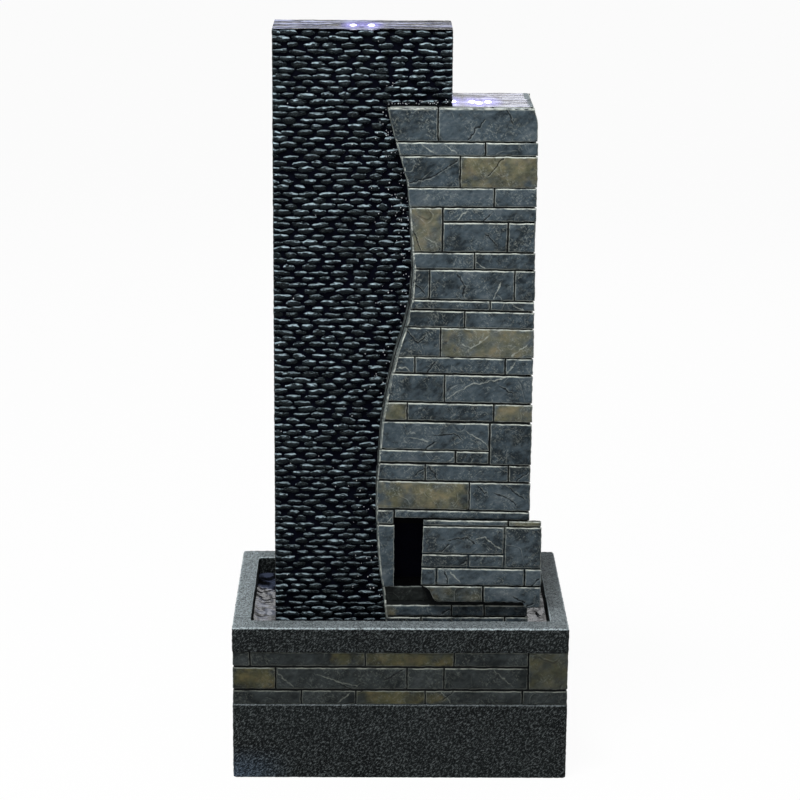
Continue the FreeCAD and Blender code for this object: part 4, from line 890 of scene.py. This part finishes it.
# Above the slate column's top the rows reach across the whole face, below it to the S-curve.
chance = random.Random(21)
spots = []
row_number = 0
level = FIRST_ROW
while level > ROWS_END:
    right_end = COLUMN_RIGHT if level > SLATE_TOP else float(s_curve(level)) + 9
    start = COLUMN_LEFT - 1.5 + (0.0 if row_number % 2 else -PEBBLE_PITCH / 2) \
        + chance.uniform(-3, 3)
    x = start + PEBBLE_LONG / 2
    first_spot = len(spots)
    while x < right_end:
        centre = x + chance.uniform(-1.6, 1.6)
        if COLUMN_LEFT + PEBBLE_LONG * 0.18 < centre < right_end - PEBBLE_LONG * 0.2:
            spots.append((centre, -PEBBLE_BED + chance.uniform(-0.2, 0.2),
                          level + chance.uniform(-0.8, 0.8)))
        x += PEBBLE_PITCH * chance.uniform(0.86, 1.0)
    # Where the stagger leaves a gap at an end, half a pebble turns the corner.
    if spots[first_spot][0] > COLUMN_LEFT + 7.5:
        spots.append((COLUMN_LEFT + 0.5 + chance.uniform(-1, 1.5), CORNER_PEBBLE,
                      level + chance.uniform(-0.8, 0.8)))
    if level > SLATE_TOP and max(spots[-1][0], spots[-2][0]) < COLUMN_RIGHT - 9:
        spots.append((COLUMN_RIGHT - 0.5 + chance.uniform(-1, 1), CORNER_PEBBLE,
                      level + chance.uniform(-0.8, 0.8)))
    level -= ROW_PITCH
    row_number += 1
pebbles = add_mesh("pebbles", spots)
pebble = pebble_form()
scene.collection.objects.link(pebble)
apply_tree(pebbles, pebble_rows, Pebble=pebble, Finish=wet_pebble)
bpy.data.objects.remove(pebble)
pebbles.data.shade_smooth()
hold(pebbles)

# The bed: a rough dark sheet with worn ends that the pebbles are set in
paint = Paint("pebble_bed")
grit = paint.noise(420, 4.0, rough=0.7)
grit_black = grit.ramp((0.3, (0.0008, 0.0010, 0.0032)), (0.75, (0.0020, 0.0026, 0.0070)))
bed_black = paint.surface(grit_black, grit.ramp((0.3, 0.7), (0.7, 0.9)), 0.03, (grit, 0.6, 0.001))
BED_FRONT, BED_LEAST, BED_REAR = -57.9, -56.2, -56.02
low, high = box_of("pebble_facing")
x_steps, z_steps = np.meshgrid(np.linspace(low[0], high[0], 70), np.linspace(low[2], high[2], 260))
ends = np.minimum(x_steps - low[0], high[0] - x_steps)
y_steps = BED_FRONT - 0.5 * cloud(x_steps, z_steps, 7, 2, 3) + 1.9 * (1 - smooth(ends, 0, 3.2))
front = np.stack([x_steps, np.minimum(y_steps, BED_LEAST), z_steps], -1)
rear = front[:, ::-1].copy()
rear[..., 1] = BED_REAR
points, faces, caps = loft(list(np.concatenate([front, rear], 1)))
pebble_bed = add_piece("pebble_bed", points, faces, bed_black, "wet_pebble", caps=caps)
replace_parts(pebbles, "pebble_facing")
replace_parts(pebble_bed, "pebble_facing")


# Slate column
# A cast resin box beside the tall column, with an S-curved slab that reaches across its front.
# A shallow well is sunk in the top; the back is left as plain hammered resin.
dress("slate_column", shaded_core_resin)
slate_right, slate_rear, slate_top = box_of("slate_column")[1]
sheet_piece("slate_column_skin",
            hammered_sheet((slate_right + 3, slate_rear), (tall_right, slate_rear), SKIN_FOOT,
                           slate_top, ((111, 0, 209), (129, 99, 227))),
            hammered_sheet((tall_right, slate_rear), (tall_right, tall_rear), SKIN_FOOT,
                           slate_top))


# Stone facing of the slate column
# Courses of split slate, 1 to 5 cm high, that follow the S-curve on the left behind a worn
# bevel and turn the corner on the right. Each stone ends a little differently at the corner.
FRONT_BED, FRONT_FACE, SIDE_BED, SIDE_END = 82.0, 85.0, 150.0, 153.0
BEVEL = np.array([(24, 1.4), (321, 1.6), (356, 2.0), (395, 2.8), (432, 3.6), (474, 4.4),
                  (511, 4.8), (577, 4.5), (614, 4.0), (637, 2.2), (686, 1.6), (745, 1.2),
                  (764, 1.2), (803, 1.6)])


def bevel_width(z):
    return np.interp(z, BEVEL[:, 0], BEVEL[:, 1])


def behind_bevel(z):
    return s_curve(z) + bevel_width(z) - 0.7


def clipped(x, z):
    # The top right corner is worn off.
    return x - 4.0 * smooth(z, 784, 803) * smooth(x, 130, 153)


def sagging(x, z):
    # The courses between the doorway and z 640 run down a little towards the right.
    return z - 0.017 * (x - 10) * smooth(640 - z, 0, 50) * smooth(z, 302, 309)


def upper_front(u, v, depth):
    return facing_front(clipped(u, v), sagging(u, v), depth)


def lower_front(u, v, depth):
    return facing_front(u, sagging(u, v), depth)


def worn_side(u, v, depth):
    return facing_right(u, sagging(SIDE_BED, v), clipped(depth, v))


# Low and high line of each course, its joints, and the stones that are stained
COURSES = [(765, 803, (39,)), (748.5, 763, (93.5,)), (711.5, 747, (65,), (1, 1.0)),
           (689, 710, (104.6,)), (616, 634, (83,)), (580, 614, (31, 130)),
           (568, 578, (102,)), (546.5, 565.5, (72.6,)),
           (511, 545, (44.7,), (1, 0.85)), (491, 509.5, (15, 121)),
           (456, 488.5, (50,)), (433, 453.5, (6.3, 108.5), (0, 0.9), (2, 0.9)),
           (359, 378, (28.4, 127)), (323, 356.5, (81,), (0, 1.0)),
           (187.3, 200.6, (61.7, 101), (0, patch(-16, 194, 11, 12))),
           (159, 185.1, (25, 126)), (123, 157, (70,)), (91, 121, (-2, 96)),
           (26, 88.5, (48,))]
CORNER_JOG = (0.1, 0.8, 0.6, 0.5, 0.3, 0.8, 0.4, 0.7, 0.9, 0.6, 0.4, 0.8, 0.3, 0.5)
SPLIT_LEVEL, DOOR_FRONT, SIDE_REAR = 485, -78.7, 29
upper, lower, side = [], [], []
side_start, side_end = -FRONT_BED + 0.6, slate_rear
for number, (low, high, joints, *stains) in enumerate(COURSES):
    corner = SIDE_END + CORNER_JOG[number % len(CORNER_JOG)]
    stones = upper if low > SPLIT_LEVEL else lower
    stones += course(low, high, behind_bevel, corner, joints, *stains)
    cut = side_start + 26 + 58 * ((number * 0.37) % 1)
    stains = [(number % 2, 0.8)] if number % 4 == 2 else []
    side += course(low, high, side_start, side_end, (cut,), *stains)
# Two blocks that each span two thinner courses, and the stones round the doorway
upper += [(behind_bevel, 44.4, 636, 687, whole(8, 45, 640, 687, 0.78)),
          (46.6, 153.4, 672, 687), (46.6, 119.9, 636, 669.5),
          (122.1, 152.6, 636, 669.5)]
lower += [(behind_bevel, 102.9, 397, 430), (behind_bevel, 62.9, 381, 395),
          (65.1, 102.9, 381, 395), (105.1, 153.6, 380, 430),
          (behind_bevel, -9.1, 304, 320), (-6.9, 153.2, 311.3, 320.6),
          (behind_bevel, -8.0, 224, 302)]
for low, high, start, cut in (
        (636, 687, side_start, -20), (380, 430, side_start, -48), (311.3, 320.6, side_start, 2),
        (288.2, 309.5, DOOR_FRONT, -30), (252, 286, DOOR_FRONT, -12),
        (221.8, 249.8, DOOR_FRONT, -51), (205.4, 219.6, DOOR_FRONT, -3)):
    side += course(low, high, start, side_end, (cut,))
sill = [(behind_bevel, 60, 203, 223), (62.2, 149.5, 203, 223),
        (135.6, 149.8, 225, 266.4), (135.6, 149.8, 268.2, 309.4)]
slate_cracks = [
    [(93, 790), (80, 777), (74, 767)], [(62, 742), (44, 731), (34, 724), (6, 716)],
    [(114, 746), (105, 734), (97, 725)], [(12, 659), (16, 650), (20, 639)],
    [(100, 680), (92, 672)], [(4, 543), (18, 526), (26, 534)], [(39, 504), (29, 492)],
    [(40, 406), (29, 398)], [(39, 415), (51, 416), (63, 416), (70, 411)],
    [(27, 374), (16, 365)], [(33, 375), (40, 367), (43, 359)], [(149, 370), (140, 363), (136, 358)],
    [(112, 344), (126, 339), (137, 330)], [(92, 352), (101, 344)], [(128, 352), (145, 338)],
    [(60, 197), (50, 190)], [(118, 800), (124, 786)], [(12, 600), (24, 588)],
    [(64, 609), (72, 596), (70, 584)], [(116, 476), (130, 468)], [(96, 657), (108, 644)]]
slate_seams = [
    [(73, 685), (63, 673)], [(85, 624), (95, 617)], [(113, 599), (105, 581)],
    [(69, 527), (79, 522), (89, 527), (100, 536)], [(126, 511), (145, 527)],
    [(-3, 496), (3, 498), (9, 493)], [(132, 505), (123, 492)],
    [(123, 487), (90, 479), (80, 478), (53, 460)], [(12, 411), (30, 408)],
    [(78, 419), (89, 413), (103, 403)], [(64, 389), (53, 381)], [(-5, 318), (-17, 305)],
    [(20, 761), (34, 752)], [(48, 760), (61, 751)], [(30, 650), (40, 643)], [(128, 575), (140, 569)]]


def s_bed(low, high, right):
    # A plate behind the front's joints, from the S-curve to the right
    levels = np.arange(low, high + 0.1, 3.0)
    levels[-1] = high
    ends = (s_curve(levels) + 0.6, np.full(len(levels), float(right)))
    return np.stack([np.column_stack([x, np.full(len(levels), -FRONT_BED), levels])
                     for x in ends], 1)


def side_bed(front, low, high):
    return np.array([[(SIDE_BED, y, z) for y in (front, SIDE_REAR)] for z in (low, high)], float)


stone_pieces = [
    lay_stones("slate_courses_upper", [(upper_front, FRONT_BED, FRONT_FACE, 200, upper)],
               slate_skin, cracks=slate_cracks, seams=slate_seams,
               beds=[s_bed(486, 802.5, SIDE_BED - 4)]),
    lay_stones("slate_courses_lower", [(lower_front, FRONT_BED, FRONT_FACE, 300, lower)],
               slate_skin, cracks=slate_cracks, seams=slate_seams,
               beds=[s_bed(311, 486, SIDE_BED), s_bed(223, 311, -8.4),
                     s_bed(24, 204.5, SIDE_BED)]),
    lay_stones("slate_courses_side", [(worn_side, SIDE_BED, SIDE_END, 400, side)], slate_skin,
               step=1.5, beds=[side_bed(-FRONT_BED, 24, 204.8), side_bed(-79, 204.8, 311),
                               side_bed(-FRONT_BED, 311, 784)])]
# The sill and the right jamb of the doorway are set back, behind the panel; their darker colour is
# painted shade.
shaded_sill_skin = split_slate("shaded_sill_skin", (0.004, 0.005, 0.005), (0.010, 0.0125, 0.012),
                        (0.024, 0.028, 0.027), (0.13, 0.15, 0.14), (0.26, 0.28, 0.25))
stone_pieces.append(lay_stones("slate_door_sill", [(facing_front, 78.6, 79.9, 390, sill)],
                               shaded_sill_skin, cracks=[[(-28, 217), (-10, 213)]]))

# The worn bevel and the slab's edge along the S-curve: one long ribbon
levels = np.arange(24, 803.1, 1.25)
recess = smooth(levels, 203.5, 205) * smooth(224.5 - levels, 0, 1.5)
# Each line of the ribbon: depth, share of the bevel's width, millimetres beyond it
profile = [(61.4, 0.0, 0), (66, 0.0, 0), (70.5, 0.0, 0), (75, 0.0, 0), (78.5, 0.0, 0),
           (80.0, 0.04, 0), (80.9, 0.2, 0), (82.0, 0.45, 0), (83.0, 0.7, 0),
           (84.0, 0.93, 0), (84.7, 1.0, 0.5), (84.9, 1.0, 1.2), (83.0, 1.0, 1.7)]
lines = []
for depth, share, beyond in profile:
    rough_edge = cloud(levels, np.full_like(levels, -depth), 7, 5, 4) * 0.5
    x = s_curve(levels) + bevel_width(levels) * share + beyond + rough_edge * 0.9
    y = recess * max(0, depth - 80.2) - depth - rough_edge * (0.0 if share == 0 else 0.5)
    lines.append(np.column_stack([x, y, levels]))
points = np.stack(lines, 1).reshape(-1, 3)
along = np.repeat(levels, len(profile))
across = np.tile(np.arange(len(profile)), len(levels))
bevel_skin = split_slate("bevel_skin", (0.022, 0.029, 0.030), (0.050, 0.062, 0.063),
                         (0.10, 0.12, 0.12), (0.66, 0.70, 0.64))
open_joints = np.array([764, 747.8, 710.8, 688, 635, 615, 579, 567, 545.8, 510.2, 489.8, 454.8,
                        431.5, 396, 379.5, 357.5, 321.8, 303])
at_joint = np.min(np.abs(along[:, None] - open_joints), 1) < 0.8
# Painted highlight along the bevel's crest, broken at the joints
crown = np.where((across >= 9) & ~at_joint, 1.05, 3.0) + 0.3 * cloud(along, across * 2.0, 9, 3, 3)
# The slab's side along the S-curve, the first five lines, is painted darker as shade
stone_pieces.append(add_piece(
    "slate_bevel", points, grid_faces(len(levels), len(profile)), bevel_skin, "slate",
    tone=0.6 * cloud(along, across * 1.0, 40, 7, 3) - 2.4 * (across <= 4), stone=18.0,
    edge=np.where(at_joint & (across >= 7), -0.2, FAR), crown=crown, **UNMARKED))
for piece in stone_pieces:
    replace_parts(piece, "slate_facing")


# Rim of the well: narrow coping stones round the top of the slate column
def facing_up(u, v, depth):
    return np.column_stack([clipped(u, slate_top), v, depth])


coping = [(-16.5, 37.9, -84.6, -75.2), (40.1, 100, -84.6, -75.2), (102.2, 148.5, -84.6, -75.2)]
coping_side = [(143.5, 152.4, -73.6, -22), (143.5, 152.4, -19.8, 28.6)]
# The front coping stones are painted paler, a painted highlight on the well's front lip
coping_highlight_skin = split_slate("coping_highlight_skin", (0.055, 0.062, 0.058), (0.12, 0.135, 0.125),
                          (0.26, 0.28, 0.28), (0.62, 0.67, 0.72))
for name, stones, proud, seed, finish in (
        ("slate_coping", coping, 0.6, 500, coping_highlight_skin),
        ("slate_coping_side", coping_side, 0.8, 520, slate_skin)):
    lay_stones(name, [(facing_up, slate_top - 1.2, slate_top + proud, seed, stones)], finish,
               step=1.2)


# Sliding stone panel
# A stone-faced plate that hides the doorway to the pump. Its lower left corner is scooped out,
# its lower right corner is ragged, and two hooked guides carry it on rails behind.
PANEL_BED, PANEL_FACE, PANEL_BACK = 88.0, 91.0, 81.5
NOTCH = np.array([(206.7, 46.5), (208.6, 41.3), (212.3, 38.4), (217.2, 36.9), (222.1, 34.6),
                  (225.3, 30.7), (227.7, 25.5), (230.0, 24.6)])


def low_right(u):
    return 207.3 - 7.6 * smooth(u, 146.5, 150.0) + 0.8 * cloud(u, u * 0 + 3, 5, 2, 3)


def notch_line(z):
    return np.interp(z, NOTCH[:, 0], NOTCH[:, 1])


def panel_left(z):
    return 24.3 + 0.031 * (z - 228.5)


def hanging(x, z):
    # The panel's courses lean down towards the right as those beside it do.
    return z - 0.010 * (x - 25) * smooth(z, 204, 212)


def panel_face(u, v, depth):
    return facing_front(u, hanging(u, v), depth)


panel_stones = [
    (panel_left, 126.9, 304.6, 310.4),
    (129.1, 166.8, 304.6, 310.2, whole(129, 168, 305, 311, 0.9)),
    (panel_left, 122.4, 269.2, 302.5), (panel_left, 79.9, 252.4, 267.1),
    (82.1, 122.4, 252.4, 267.1), (124.6, 167.7, 251.8, 302.5),
    (panel_left, 41.9, 229.4, 249.7), (44.1, 147.4, 229.4, 249.7),
    (149.6, 168.6, 229.4, 249.7),
    (notch_line, 97.9, 207.5, 227.2, whole(30, 98, 207, 228, 0.5)),
    (100.1, 168.2, low_right, 227.2)]
panel_cracks = [[(57, 285), (67, 288), (80, 288), (88, 282)], [(57, 280), (47, 271)],
                [(81, 262), (71, 254)], [(53, 246), (57, 231)], [(165, 238), (157, 229)],
                [(136, 214), (150, 207)], [(160, 206), (152, 202)]]
panel_seams = [[(90, 288), (100, 290), (110, 281), (122, 275)], [(60, 246), (70, 234)]]
# The plate behind the stones: its outline, closed and divided into short steps. It reaches
# past the stones below the panel and round the notch, where it is painted near black as the
# panel's shadow.
outline = [(27.2, 309), (166.2, 309), (167.4, 259), (168, 240), (167.4, 220), (168, 203),
           (160, 200.6), (151, 200.8), (147.5, 205), (100, 204.6), (44, 204.4)]
outline += [(float(notch_line(z + 1)) - 5.5, z) for z in (207.5, 210, 213.5, 217, 221, 224)]
outline += [(24.8, 227.5), (24.9, 232), (26.0, 270)]
dense = []
for (a, b), (c, d) in zip(outline, outline[1:] + outline[:1]):
    steps = max(1, round(math.hypot(c - a, d - b) / 2.2))
    dense += [(a + (c - a) * k / steps, b + (d - b) * k / steps) for k in range(steps)]
x, z = np.array(dense)[::-1].T
z = hanging(x, z)
rows = []
for depth in (PANEL_BED, PANEL_BED, 87.0, 85.2, 83.2, PANEL_BACK):
    wobble = 0.35 * cloud(x + z, np.full(len(x), depth * -2.0), 6, 4, 3)
    rows.append(np.column_stack([x + wobble, np.full(len(x), -depth), z + wobble]))
points, faces, caps = loft(rows)
# Painted shadow: the plate's bands above z 307 and below z 230 are near black
painted_shadow_bands = np.where((points[:, 2] > 307) | (points[:, 2] < 230), -1.0, 3.0)
plate = add_piece("panel_plate", points, faces, slate_skin, "slate", "panel", caps, stone=FAR,
                  tone=0.5 * cloud(points[:, 0], points[:, 2], 18, 6, 3), crown=FAR, edge=painted_shadow_bands,
                  **UNMARKED)
panel_skin = split_slate("panel_skin", (0.018, 0.026, 0.032), (0.052, 0.071, 0.085),
                         (0.118, 0.143, 0.160))
panel_front = lay_stones("panel_stones", [(panel_face, PANEL_BED, PANEL_FACE, 600, panel_stones)],
                         panel_skin, "panel", 0.85, panel_cracks, panel_seams)
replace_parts(plate, "access_panel")
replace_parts(panel_front, "access_panel")


# Water
# A rippled sheet stands in the basin and another on each top, where it brims over the front
# edge. The water is clear, but here its colour is painted: the dark stone under it as a dark
# ground and the sky in its ripples as pale streaks of painted reflection.
def rippled(name, x_range, y_range, level, material, step, height, seed, stretch, size=9,
            climb=0.0):
    # climb: how far the water rises where it meets the walls.
    x, y = (np.append(np.arange(low, high + step / 2, step)[:-1], high)
            for low, high in (x_range, y_range))
    x, y = np.meshgrid(x, y)
    shore = np.minimum(np.minimum(x - x_range[0], x_range[1] - x),
                       np.minimum(y - y_range[0], y_range[1] - y))
    z = (level + height * cloud(x / stretch, y, size, seed, 3)
         + 0.35 * height * cloud(x, y, 4.5, seed + 4, 2) + climb * (1 - smooth(shore, 0, 9)))
    add_piece(name, np.stack([x, y, z], -1).reshape(-1, 3), grid_faces(*x.shape), material,
              "clear_lens")


def still_water(name, spots, glow_size, tint, wave, bend, ripples=(60, (0.30, 1.5, 1)),
                core_size=(2.2, 5.0), paler=None, **fixed):
    # spots: places where the light ring under the surface shows; its glow is painted round them
    # on the water as emission. paler: where the surface turns paler towards the right.
    paint = Paint(name)
    sky = paint.noise(ripples[0], 4.0, ripples[1])
    shade = sky
    if paler:
        shade = sky + paint.spot.axis("X").fade(paler[0] * MM, paler[1] * MM, 0.0, 0.1)
    painted_glow = painted_led_core = None
    for x, y, z, strength in spots:
        away = paint.spot.vector("SUBTRACT", (x * MM, y * MM, z * MM))
        gap = away.vector("MULTIPLY", (1.0, 0.42, 0.3)).length()
        glow = gap.fade(0.0, glow_size * MM, strength, 0.0, "SMOOTHSTEP")
        painted_glow = painted_glow | glow if painted_glow else glow
        if strength == 1.0:
            point = gap.fade(core_size[0] * MM, core_size[1] * MM, 1.0, 0.0, "SMOOTHSTEP")
            painted_led_core = painted_led_core | point if painted_led_core else point
    # The LED glow and cores are painted on the water as light
    if spots:
        speckled = paint.noise(420, 2.0).ramp((0.4, 0.5), (0.6, 1.1))
        fixed["Emission_Color"] = painted_led_core.mix((0.36, 0.33, 1.0), (1.0, 1.0, 1.0))
        fixed["Emission_Strength"] = painted_glow * 0.9 * speckled + painted_led_core * 5.0
    # Painted reflection: pale streaks of sky in the ripples over a dark ground
    colour = shade.ramp((0.42, tint[0]), (0.51, tint[1]), (0.59, tint[2]))
    return paint.surface(colour, sky.ramp((0.3, 0.04), (0.7, 0.10)), 0.5, (sky, 0.5, wave),
                         Alpha=0.97, IOR=bend, **fixed)


WATER_LEVEL, WELL_HALF_X, WELL_HALF_Y = 168.0, HALF_X - RIM_SIDE + 0.3, HALF_Y - RIM_FRONT + 0.3
basin_water = still_water(
    "basin_water", (), 0, ((0.002, 0.0022, 0.003), (0.007, 0.008, 0.014), (0.040, 0.050, 0.080)),
    0.0025, 1.24, (75, (0.7, 0.9, 1)), Specular_Tint=(0.80, 0.88, 1.0, 1))
tall_water = still_water(
    "tall_water", ((-59, -26, 889, 1.0), (-38, -26, 889, 1.0), (-48.5, -20, 889, 0.7)), 19,
    ((0.001, 0.001, 0.006), (0.022, 0.025, 0.052), (0.24, 0.26, 0.38)), 0.018, 1.045,
    Specular_Tint=(0.88, 0.92, 1.0, 1))
slate_water = still_water(
    "slate_water", ((79, -39, 801, 1.0), (86.5, -48, 801, 1.0), (97.5, -39, 801, 1.0),
                    (56.5, -36, 801, 1.0)), 21,
    ((0.010, 0.008, 0.020), (0.075, 0.072, 0.105), (0.31, 0.32, 0.40)), 0.007, 1.1,
    core_size=(2.8, 4.8), paler=(112, 136))
rippled("basin_surface", (-WELL_HALF_X, WELL_HALF_X), (-WELL_HALF_Y, WELL_HALF_Y), WATER_LEVEL,
        basin_water, 2.4, 1.4, 3, 0.36, size=42, climb=2.4)
rippled("tall_top_surface", (-151.2, 55.2), (-60.6, 21.6), 889.4, tall_water, 1.5, 0.4, 5, 3.0)
rippled("slate_top_surface", (55.6, 144.0), (-75.6, 28.9), 803.5, slate_water, 1.5, 0.3, 9, 2.0)
rippled("spill_surface", (-12.5, 57.5), (-75.4, -61.6), 801.2, slate_water, 1.5, 0.4, 12, 2.0)


# Droplets
# Beads of water thrown off the curve and the edges: small flattened drops painted near white as
# glints, thickest along the slate's S-edge and at the foot of the column.
paint = Paint("water_bead_glint")
sparkle = paint.noise(900, 2.0)
# Painted glints: the beads are coloured near white
glint_bead = paint.surface(sparkle.ramp((0.3, (0.55, 0.60, 0.68)), (0.7, (0.95, 0.97, 1.0))),
                     sparkle.ramp((0.3, 0.05), (0.7, 0.15)), 0.6, (sparkle, 0.2, 0.0004))
beads, given = new_tree("droplets", Size=0.62 * MM, Seed=8, Finish="Material")
ball = take(beads, "GeometryNodeMeshIcoSphere", "Mesh", {"Radius": given["Size"],
                                                         "Subdivisions": 1})
spread = chance_between(beads, (0.4, 0.4, 0.4), (1.0, 0.9, 1.7), given["Seed"], 1.0)
placed = take(beads, "GeometryNodeInstanceOnPoints", 0, {"Points": given["Geometry"],
                                                         "Instance": ball, "Scale": spread})
finish_tree(beads, placed, given["Finish"])
# Along the S-edge, down the pebbles, on the spill and beside the step between the columns
chance = random.Random(77)
spots = []
for number in range(130):
    z = chance.uniform(200, 800) if number % 3 else chance.uniform(560, 800)
    spots.append((s_curve(z) - chance.expovariate(0.09) - 1.0, -60.9 - chance.uniform(0, 1.2), z))
for number in range(40):
    spots.append((chance.uniform(-148, 20), -61.2 - chance.uniform(0, 0.8),
                  chance.uniform(230, 880)))
for number in range(26):
    spots.append((chance.uniform(-18, 52), chance.uniform(-63, -61.5),
                  803.6 + chance.expovariate(0.6)))
for number in range(34):
    spots.append((55.8 + chance.uniform(-0.5, 1.0), chance.uniform(-52, -20),
                  803 + chance.uniform(0, 14)))
droplets = add_mesh("droplets", [spot for spot in spots if spot[0] > -150])
apply_tree(droplets, beads, Finish=glint_bead)
droplets.data.shade_smooth()
hold(droplets)


# Lights, outlets, pump, hoses and wiring
# The bought-in parts keep their CAD shapes: moulded plastics with a fine spark-eroded grain,
# clear hose and covers, rubber, brushed steel and a ceramic shaft.
def moulded(name, dark, light, sheen, rough, grain_size=1400, stretch=None, **fixed):
    paint = Paint(name)
    grain = paint.noise(grain_size, 3.0, stretch)
    cloudy = grain * 0.5 + paint.noise(55) * 0.5
    return paint.surface(cloudy.ramp((0.35, dark), (0.68, light)),
                         grain.ramp((0.3, rough), (0.7, rough + 0.16)), sheen,
                         (grain, 0.25, 0.0003), **fixed)


paint = Paint("lit_diode")
hot = paint.noise(500, 2.0)
lit_diode = paint.surface(hot.ramp((0.3, (0.75, 0.78, 1.0)), (0.7, (1, 1, 1))), 0.3, 0.5,
                          Emission_Color=hot.ramp((0.3, (0.70, 0.72, 1.0)), (0.7, (1, 1, 1))),
                          Emission_Strength=2.5)
for finish, nodes in (
        (moulded("black_plastic", (0.008, 0.009, 0.010), (0.022, 0.023, 0.025), 0.4, 0.38),
         ("water_nozzles", "nozzle_nuts", "hose_tee", "pump_housing", "pump_cover",
          "cable_splice")),
        (moulded("grey_plastic", (0.11, 0.115, 0.12), (0.18, 0.185, 0.19), 0.4, 0.42),
         ("pump_outlet", "chamber_plate", "flow_regulator", "impeller", "panel_guides")),
        (moulded("white_plastic", (0.55, 0.56, 0.58), (0.72, 0.73, 0.74), 0.5, 0.30),
         ("light_housings",)),
        (lit_diode, ("light_diodes",)),
        (moulded("clear_vinyl", (0.42, 0.47, 0.46), (0.62, 0.66, 0.65), 0.5, 0.12, 260,
                 Alpha=0.55), ("tall_riser_hose", "slate_riser_hose")),
        (moulded("clear_cover", (0.78, 0.80, 0.84), (0.90, 0.91, 0.94), 0.5, 0.08, 300,
                 Alpha=0.45), ("light_lenses",)),
        (moulded("soft_rubber", (0.012, 0.012, 0.012), (0.030, 0.030, 0.029), 0.2, 0.66),
         ("suction_cups", "shaft_bushes", "cable_grommet")),
        (moulded("lead_jacket", (0.010, 0.010, 0.011), (0.028, 0.028, 0.030), 0.35, 0.45, 700),
         ("tall_light_lead", "slate_light_lead", "pump_lead")),
        (moulded("brushed_steel", (0.36, 0.37, 0.38), (0.60, 0.61, 0.62), 0.5, 0.26, 900,
                 (0.08, 1, 1), Metallic=1.0), ("hose_clamps", "guide_screws")),
        # The rails are painted near black without sheen, as the shade in the doorway
        (moulded("rail_shade_black", (0.001, 0.0011, 0.0012), (0.003, 0.0032, 0.0035), 0.0, 0.6),
         ("door_rails",)),
        (moulded("zirconia", (0.62, 0.62, 0.60), (0.80, 0.80, 0.77), 0.6, 0.16, 800),
         ("pump_shaft",))):
    for node in nodes:
        dress(node, finish)
